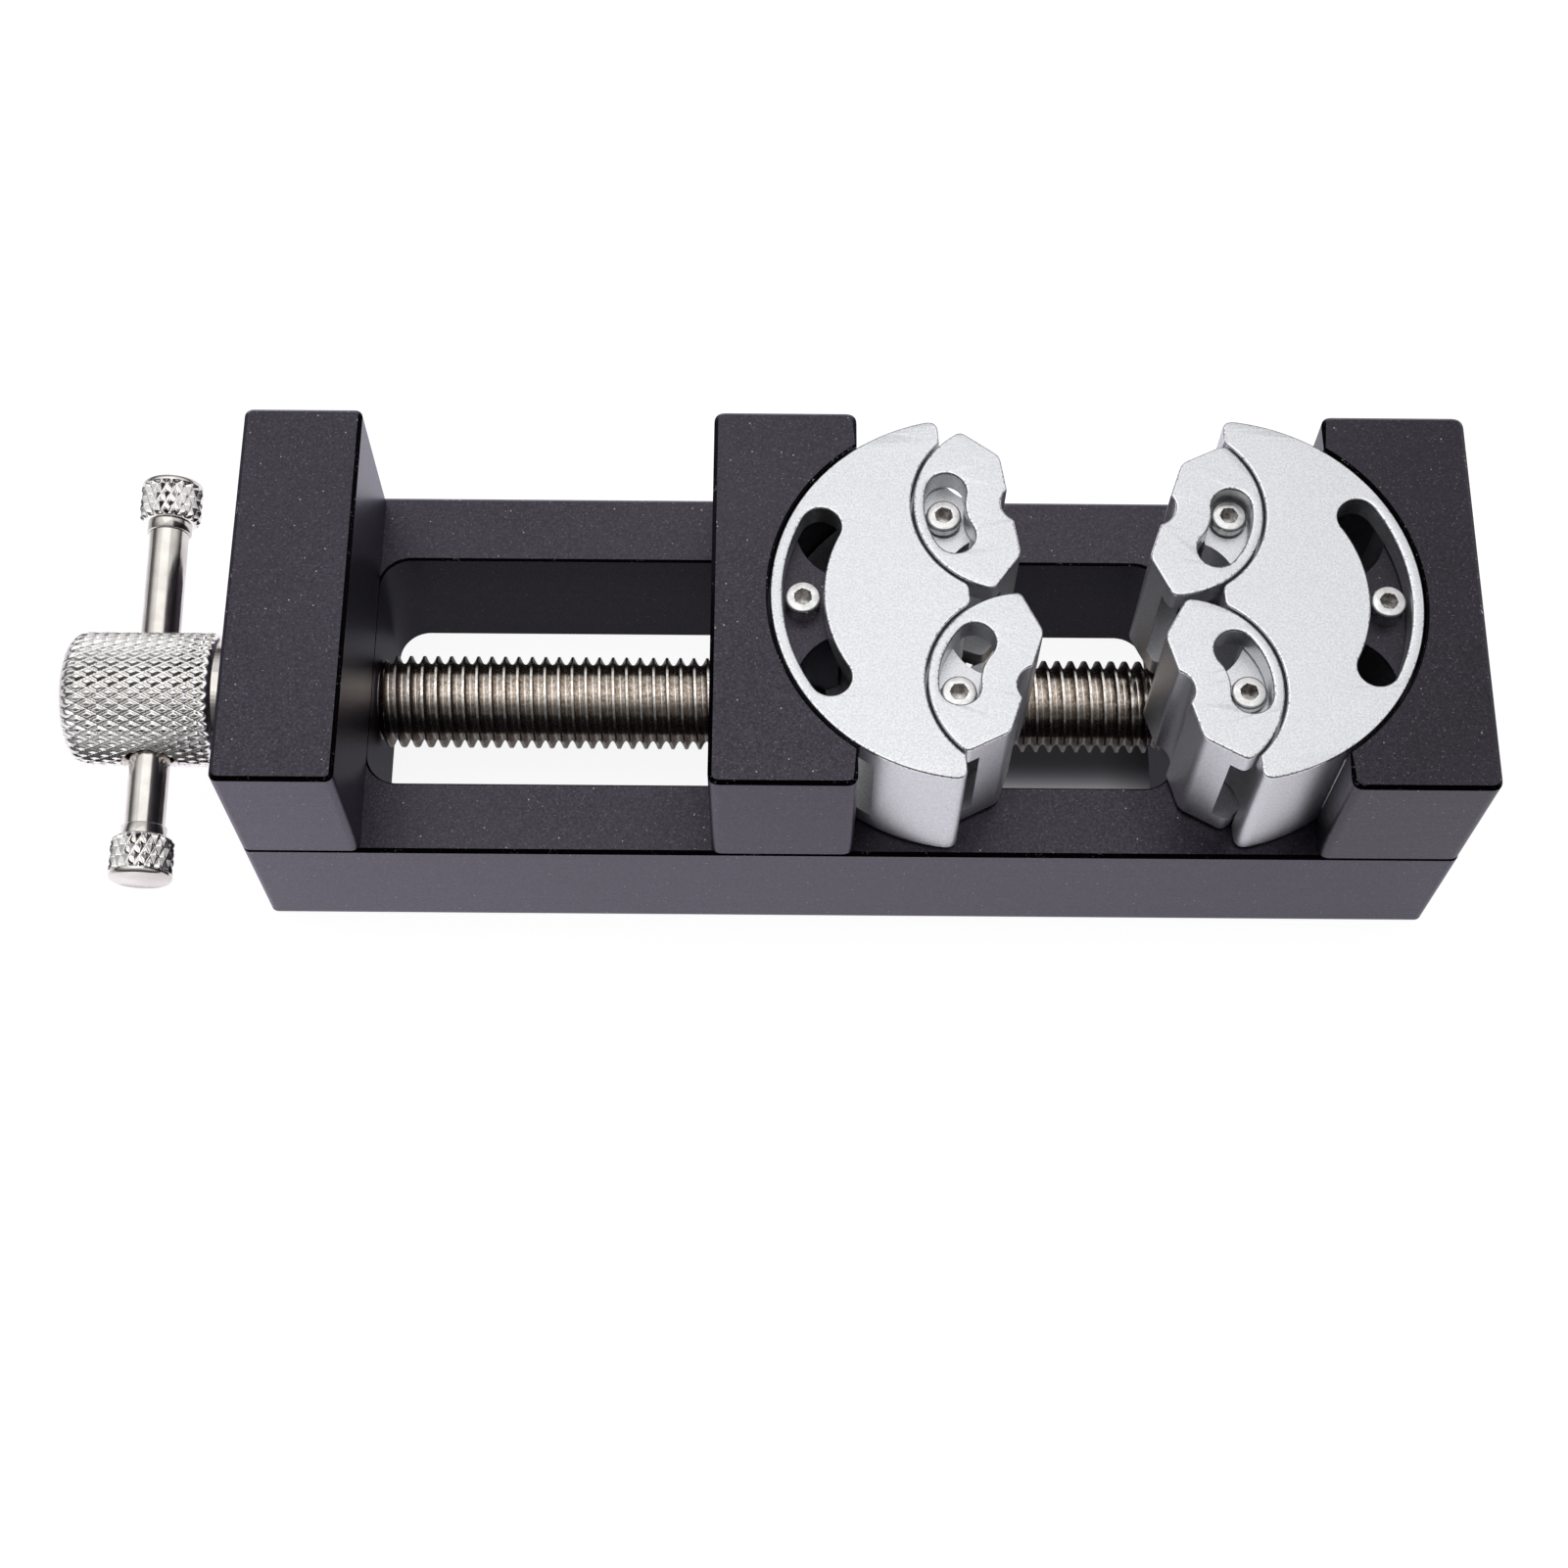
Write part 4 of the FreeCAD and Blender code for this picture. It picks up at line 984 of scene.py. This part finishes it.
def make_hub():
    """The knurled head; returns the X of its cross hole."""
    low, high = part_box("handle_hub")
    start = low.x / MM
    neck_end = high.x / MM - start
    barrel_end = HUB_LENGTH + HUB_RUN_OUT
    profile = [(HUB_ROUND * inward, HUB_RADIUS - HUB_ROUND * drop) for inward, drop in quarter_round(12)]
    profile += shoulder(HUB_ROUND, barrel_end, 130, HUB_RADIUS, NECK_RADIUS, HUB_END_ROUND)[1:]

    def fade(along):
        return min(1.0, along / HUB_ROUND * HUB_ROUND_FADE,
                   max(0.0, (barrel_end - HUB_LAND - along) / HUB_FADE))

    barrel = knurl("hub", profile, fade, *HUB_KNURL)
    neck = mark(lathe("neck", [(HUB_LENGTH - OVERLAP, NECK_RADIUS), (neck_end - NECK_BREAK, NECK_RADIUS),
                               (neck_end, NECK_RADIUS - NECK_BREAK)]))
    carve(barrel, neck, operation="UNION")
    reach = HUB_RADIUS + BEYOND
    flare = HUB_RADIUS - BAR_HOLE_BREAK
    wide = BAR_HOLE_RADIUS + BAR_HOLE_BREAK + BEYOND
    hole = mark(lathe("hole", [(-reach, wide), (-flare, BAR_HOLE_RADIUS), (flare, BAR_HOLE_RADIUS),
                               (reach, wide)]))
    shift(hole, moved(x=BAR_HOLE_INSET) @ turned(90))
    fit = JOURNAL_RADIUS + THREAD_FIT
    socket = lathe("socket", [(HUB_LENGTH - HUB_SOCKET, fit), (neck_end + BEYOND, fit)])
    carve(barrel, hole, socket)
    shift(barrel, moved(start, 0, SCREW_Z) @ turned(HANDLE_ROLL, "X"))
    barrel.name = "knurled_head"
    finish_piece(barrel, ["handle_hub"], "spindle", [KNURLED, PLATED], sharp=55)
    return start + BAR_HOLE_INSET


def make_bar(centre_x):
    """The bar and its caps, drawn along X and then laid along the hole in the head."""
    low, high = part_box("handle_cap_near")[0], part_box("handle_cap_far")[1]
    tilt = CAP_FACE_RADIUS * abs(SLIDE.z)
    first = (low.y / MM + tilt) / SLIDE.y
    last = (high.y / MM - tilt) / SLIDE.y
    lay = moved(centre_x, 0, SCREW_Z) @ turned(HANDLE_ROLL, "X") @ turned(90)
    inside = CAP_LENGTH - CAP_BORE
    half = [(first + inside, BAR_END_RADIUS - ROUND), (first + inside + ROUND, BAR_END_RADIUS),
            (first + CAP_LENGTH, BAR_END_RADIUS), (first + CAP_LENGTH, BAR_RADIUS)]
    bar = lathe("cross_bar", half + [(first + last - along, radius) for along, radius in reversed(half)])
    finish_piece(shift(bar, lay), ["handle_bar"], "tommy_bar", [PLATED])
    for name, node, end, turn in (("near_cap", "handle_cap_near", first, 0),
                                  ("far_cap", "handle_cap_far", last, 180)):
        cap = make_cap(name)
        shift(cap, lay @ moved(x=end) @ turned(turn))
        cap.name = name + "_knurled"
        finish_piece(cap, [node], "tommy_bar", [KNURLED, PLATED], sharp=55)


def make_cap(name):
    """A cap with its face at the origin: a smooth bevel, a knurled barrel with a shoulder, and a neck."""
    barrel_end = CAP_LENGTH - CAP_NECK_LENGTH
    profile = shoulder(CAP_BEVEL, barrel_end, 64, CAP_RADIUS, CAP_NECK_RADIUS, CAP_SHOULDER)

    def fade(along):
        return max(0.0, min(1.0, (along - CAP_BEVEL - CAP_LAND) / CAP_FADE_IN,
                            (barrel_end - along) / CAP_FADE_OUT))

    barrel = knurl(name, profile, fade, *CAP_KNURL)
    bevel = [(0, CAP_FACE_RADIUS - CAP_FACE_BREAK), (CAP_FACE_DEPTH, CAP_FACE_RADIUS)]
    for inward, drop in quarter_round(6)[1:]:
        bevel.append((CAP_FACE_DEPTH + (CAP_BEVEL - CAP_FACE_DEPTH) * inward,
                      CAP_RADIUS - (CAP_RADIUS - CAP_FACE_RADIUS) * drop))
    bevel.append((CAP_BEVEL + CAP_LAND, CAP_RADIUS))
    neck = [(barrel_end - OVERLAP, CAP_NECK_RADIUS), (CAP_LENGTH - CAP_NECK_BREAK, CAP_NECK_RADIUS),
            (CAP_LENGTH, CAP_NECK_RADIUS - CAP_NECK_BREAK)]
    carve(barrel, mark(lathe("head", bevel)), mark(lathe("neck", neck)), operation="UNION")
    fit = BAR_END_RADIUS + THREAD_FIT
    return carve(barrel, mark(lathe("bore", [(CAP_LENGTH - CAP_BORE, fit), (CAP_LENGTH + BEYOND, fit)])))


make_base()
make_end_block()
make_jaw_block("fixed_block", "fixed_jaw_block", "base", FIXED_FACE, 180, DECK, "fixed_block_screws",
               BLACK_FIXED)
make_jaw_block("moving_block", "moving_jaw_block", "moving_jaw", MOVING_FACE, 0, DECK + DECK_GAP,
               "carriage_screws", BLACK_MOVING)
make_carriage()
left_turn = rest_turn("crescent_left_turn")
right_turn = 180 + rest_turn("crescent_right_turn")
make_crescent("left", LEFT_AXIS, left_turn)
make_crescent("right", RIGHT_AXIS, right_turn)
for node, turn, outward in (("jaw_left_far", left_turn, 1), ("jaw_left_near", left_turn, -1),
                            ("jaw_right_far", right_turn, -1), ("jaw_right_near", right_turn, 1)):
    make_small_jaw(node, turn - outward * rest_turn(node + "_turn"))
make_lead_screw()
make_bar(make_hub())


# How far the sockets of the screws in the lugs are turned, each by another angle
LEFT_SPIN = 8
RIGHT_SPIN = 22
FAR_SPIN = 12
NEAR_SPIN = 31
LARGE_SPIN = 17


def lug_places(x, y, turn, sink=0.0):
    """Above and beneath a lug, for a screw_group."""
    return [(x, y, LUG_TOP - sink, turn, True), (x, y, LUG_LOW + sink, turn, False)]


def small_lug_places(axis, turn):
    places = []
    for sign, spin in ((1, FAR_SPIN), (-1, NEAR_SPIN)):
        seat = polar((0, 0), SMALL_SEAT_DISTANCE, sign * SMALL_SEAT_ANGLE)
        spot = seat - Vector((KIDNEY_RADIUS, 0))
        spot.rotate(Matrix.Rotation(radians(turn), 2))
        places += lug_places(axis.x + spot.x, axis.y + spot.y, spin, LUG_SINK)
    return places


def large_places(node):
    spots, head_low = large_spots(node)
    return [(x, y, head_low + LARGE_SCREW[1], LARGE_SPIN + y, False) for x, y in spots]


for side, x, spin, body in (("left", LEFT_AXIS.x - ARC_SLOT_RADIUS, LEFT_SPIN, "moving_jaw"),
                            ("right", RIGHT_AXIS.x + ARC_SLOT_RADIUS, RIGHT_SPIN, "base")):
    screw_group(side + "_arc_screws", SMALL_SCREW, lug_places(x, 0, spin), "arc_screws_" + side, body)
for side, axis, turn in (("left", LEFT_AXIS, left_turn), ("right", RIGHT_AXIS, right_turn)):
    screw_group(side + "_jaw_screws", SMALL_SCREW, small_lug_places(axis, turn), "crescent_screws_" + side,
                "crescent_" + side)
for node, body in (("end_block_screws", "base"), ("fixed_block_screws", "base"),
                   ("carriage_screws", "moving_jaw")):
    name = node.replace("_screws", "_cap_screws")
    screw_group(name, LARGE_SCREW, large_places(node), node, body)

for cad_node, cad_material in (("spindle_bush", BRONZE), ("end_bush", BRONZE), ("lead_nut", BRONZE),
                               ("thrust_washer", STEEL)):
    shown = frame["nodes"][cad_node]
    shown.data.materials.clear()
    shown.data.materials.append(cad_material)


# The camera, at the photograph's place, with its lens worked out for a frame 1601 pixels wide

FOCAL_PIXELS = 2689.09
FRAME_PIXELS = 1601
SENSOR = 36.0
CAMERA_PLACE = (-8.626, -146.465, 321.922)
CAMERA_RIGHT = (0.99997, 0.00659, 0.00400)
CAMERA_FORWARD = (0.00104, 0.39923, -0.91685)
camera_data = bpy.data.cameras.new("camera")
camera_data.sensor_width = SENSOR
camera_data.lens = FOCAL_PIXELS / FRAME_PIXELS * SENSOR
camera_data.clip_start = 0.005
camera = new_object("camera", camera_data)
right = Vector(CAMERA_RIGHT).normalized()
forward = Vector(CAMERA_FORWARD).normalized()
up = right.cross(forward).normalized()
facing = Matrix((right, up, -forward)).transposed().to_4x4()
camera.matrix_world = Matrix.Translation(Vector(CAMERA_PLACE) * MM) @ facing
bpy.context.scene.camera = camera


# The floor and the light

# Brightness: to the camera, in reflections from left to right, and in the shadow; and shares of it
FLOOR_GLOW = 0.90
MIRROR_GLOW = (0.86, 0.60)
SHADOW_GLOW = (0.016, 0.19)
SHADOW_RIGHT_SHARE = 0.3
BENEATH_SHARE = 0.18
HANDLE_SHARE = 1.2
FAR_LEFT_SHARE = 0.45
# The stretches of the floor over which it changes, in millimetres along X or Y
MIRROR_STRETCH = (-80, 80)
FAR_LEFT_STRETCH = (-140, -110)
HANDLE_STRETCH = (-100, -85)
SHADOW_LEFT_EDGE = (10, 19)
SHADOW_RIGHT_EDGE = (42, 48)
SHADOW_NEAR_EDGE = (-20, -15)
SHADOW_FAR_EDGE = (0, 6)
SHADOW_RISE = (-6.5, -2.0)
SHADOW_RIGHT_STRETCH = (34, 41)
SHADOW_RISE_POWER = 3.0
# The dome: a direction's low and high component, and the shares for those
DOME_HEIGHT = (0.10, 0.72, 0.07, 0.90)
DOME_FRONT = (-0.68, -0.14, 0.16, 1.0)
DOME_RIGHT = (0.0, 0.45, 1.0, 0.92)
DOME_FAR_LEFT = (-0.85, -0.50, 0.5, 1.0)
DOME_LEFT = (-0.95, -0.45, 0.12, 0.0)
LAMP_TARGET = (0, 0, 0.02)


def make_floor():
    """A pale floor that the camera sees as white, but for the dark shadow beneath the jaws.

    Reflections see it as bright too, most by the handle, less to the right and the far left, and much less
    beneath the vise.
    """
    bm = bmesh.new()
    bmesh.ops.create_grid(bm, x_segments=1, y_segments=1, size=3.0)
    floor = to_object(bm, "floor")
    n = new_material("floor_white")
    x, y, _ = n.axes()

    def within(place, size):
        return n.maths("LESS_THAN", n.maths("ABSOLUTE", place), size / 2 * MM)

    def over(place, stretch, first=0.0, last=1.0):
        return n.span(place, stretch[0] * MM, stretch[1] * MM, first, last)

    beneath = n.product(within(x, BASE_LENGTH), within(y, BASE_WIDTH))
    glow = n.product(over(x, MIRROR_STRETCH, *MIRROR_GLOW), n.span(beneath, 0.0, 1.0, 1.0, BENEATH_SHARE),
                     over(x, FAR_LEFT_STRETCH, FAR_LEFT_SHARE, 1.0),
                     over(x, HANDLE_STRETCH, HANDLE_SHARE, 1.0))
    path = n.add("ShaderNodeLightPath")
    mirror = n.maths("MAXIMUM", path.outputs["Is Glossy Ray"], path.outputs["Is Transmission Ray"])
    shaded = n.product(over(x, SHADOW_LEFT_EDGE), over(y, SHADOW_FAR_EDGE, 1.0, 0.0),
                       over(x, SHADOW_RIGHT_EDGE, 1.0, 0.0), over(y, SHADOW_NEAR_EDGE))
    rise = n.maths("POWER", over(y, SHADOW_RISE, 1.0, 0.0), SHADOW_RISE_POWER)
    gleam = n.product(n.span(rise, 0.0, 1.0, *SHADOW_GLOW),
                      over(x, SHADOW_RIGHT_STRETCH, 1.0, SHADOW_RIGHT_SHARE))
    seen = n.product(path.outputs["Is Camera Ray"], n.span(shaded, 0.0, 1.0, FLOOR_GLOW, gleam))
    tint = n.mix(n.maths("MAXIMUM", mirror, shaded), colour(1.0, 1.0, 1.0), colour(0.95, 0.93, 1.0))
    n.set(Base_Color=n.mix(shaded, colour(0.32, 0.32, 0.32), colour(0.12, 0.12, 0.13)), Roughness=0.9,
          Specular_IOR_Level=0.0, Emission_Color=tint,
          Emission_Strength=n.maths("ADD", seen, n.product(mirror, glow)))
    floor.data.materials.append(n.material)


def make_lamp(name, place, width, depth, power):
    """An area lamp at a place in metres, aimed at the vise."""
    data = bpy.data.lights.new(name, "AREA")
    data.shape = "RECTANGLE"
    data.size = width
    data.size_y = depth
    data.energy = power
    lamp = new_object(name, data)
    lamp.location = place
    lamp.rotation_euler = (Vector(LAMP_TARGET) - Vector(place)).to_track_quat("-Z", "Y").to_euler()


def make_world():
    """A dome: bright above and behind, dark in front and low down, faint at the left, white when seen."""
    world = bpy.data.worlds.new("studio")
    n = Nodes(world, "Background", "Generated")
    x, y, z = n.axes()

    def ramp(axis, limits):
        return n.span(axis, *limits, "SMOOTHSTEP")

    dome = n.product(ramp(z, DOME_HEIGHT), ramp(y, DOME_FRONT), ramp(x, DOME_RIGHT),
                     ramp(x, DOME_FAR_LEFT))
    dome = n.maths("MAXIMUM", dome, ramp(x, DOME_LEFT))
    shown = n.add("ShaderNodeMix")
    path = n.add("ShaderNodeLightPath")
    for index, given in ((0, path.outputs["Is Camera Ray"]), (2, dome), (3, 1.0)):
        n.feed(shown.inputs[index], given)
    n.set(Color=colour(0.985, 0.99, 1.0), Strength=shown.outputs[0])
    bpy.context.scene.world = world


make_floor()
make_world()
make_lamp("top_softbox", (-0.12, 0.24, 1.08), width=0.9, depth=0.7, power=1.0)
make_lamp("left_softbox", (-0.85, 0.25, 0.70), width=0.6, depth=0.5, power=0.2)
bpy.context.scene.view_settings.view_transform = "Standard"
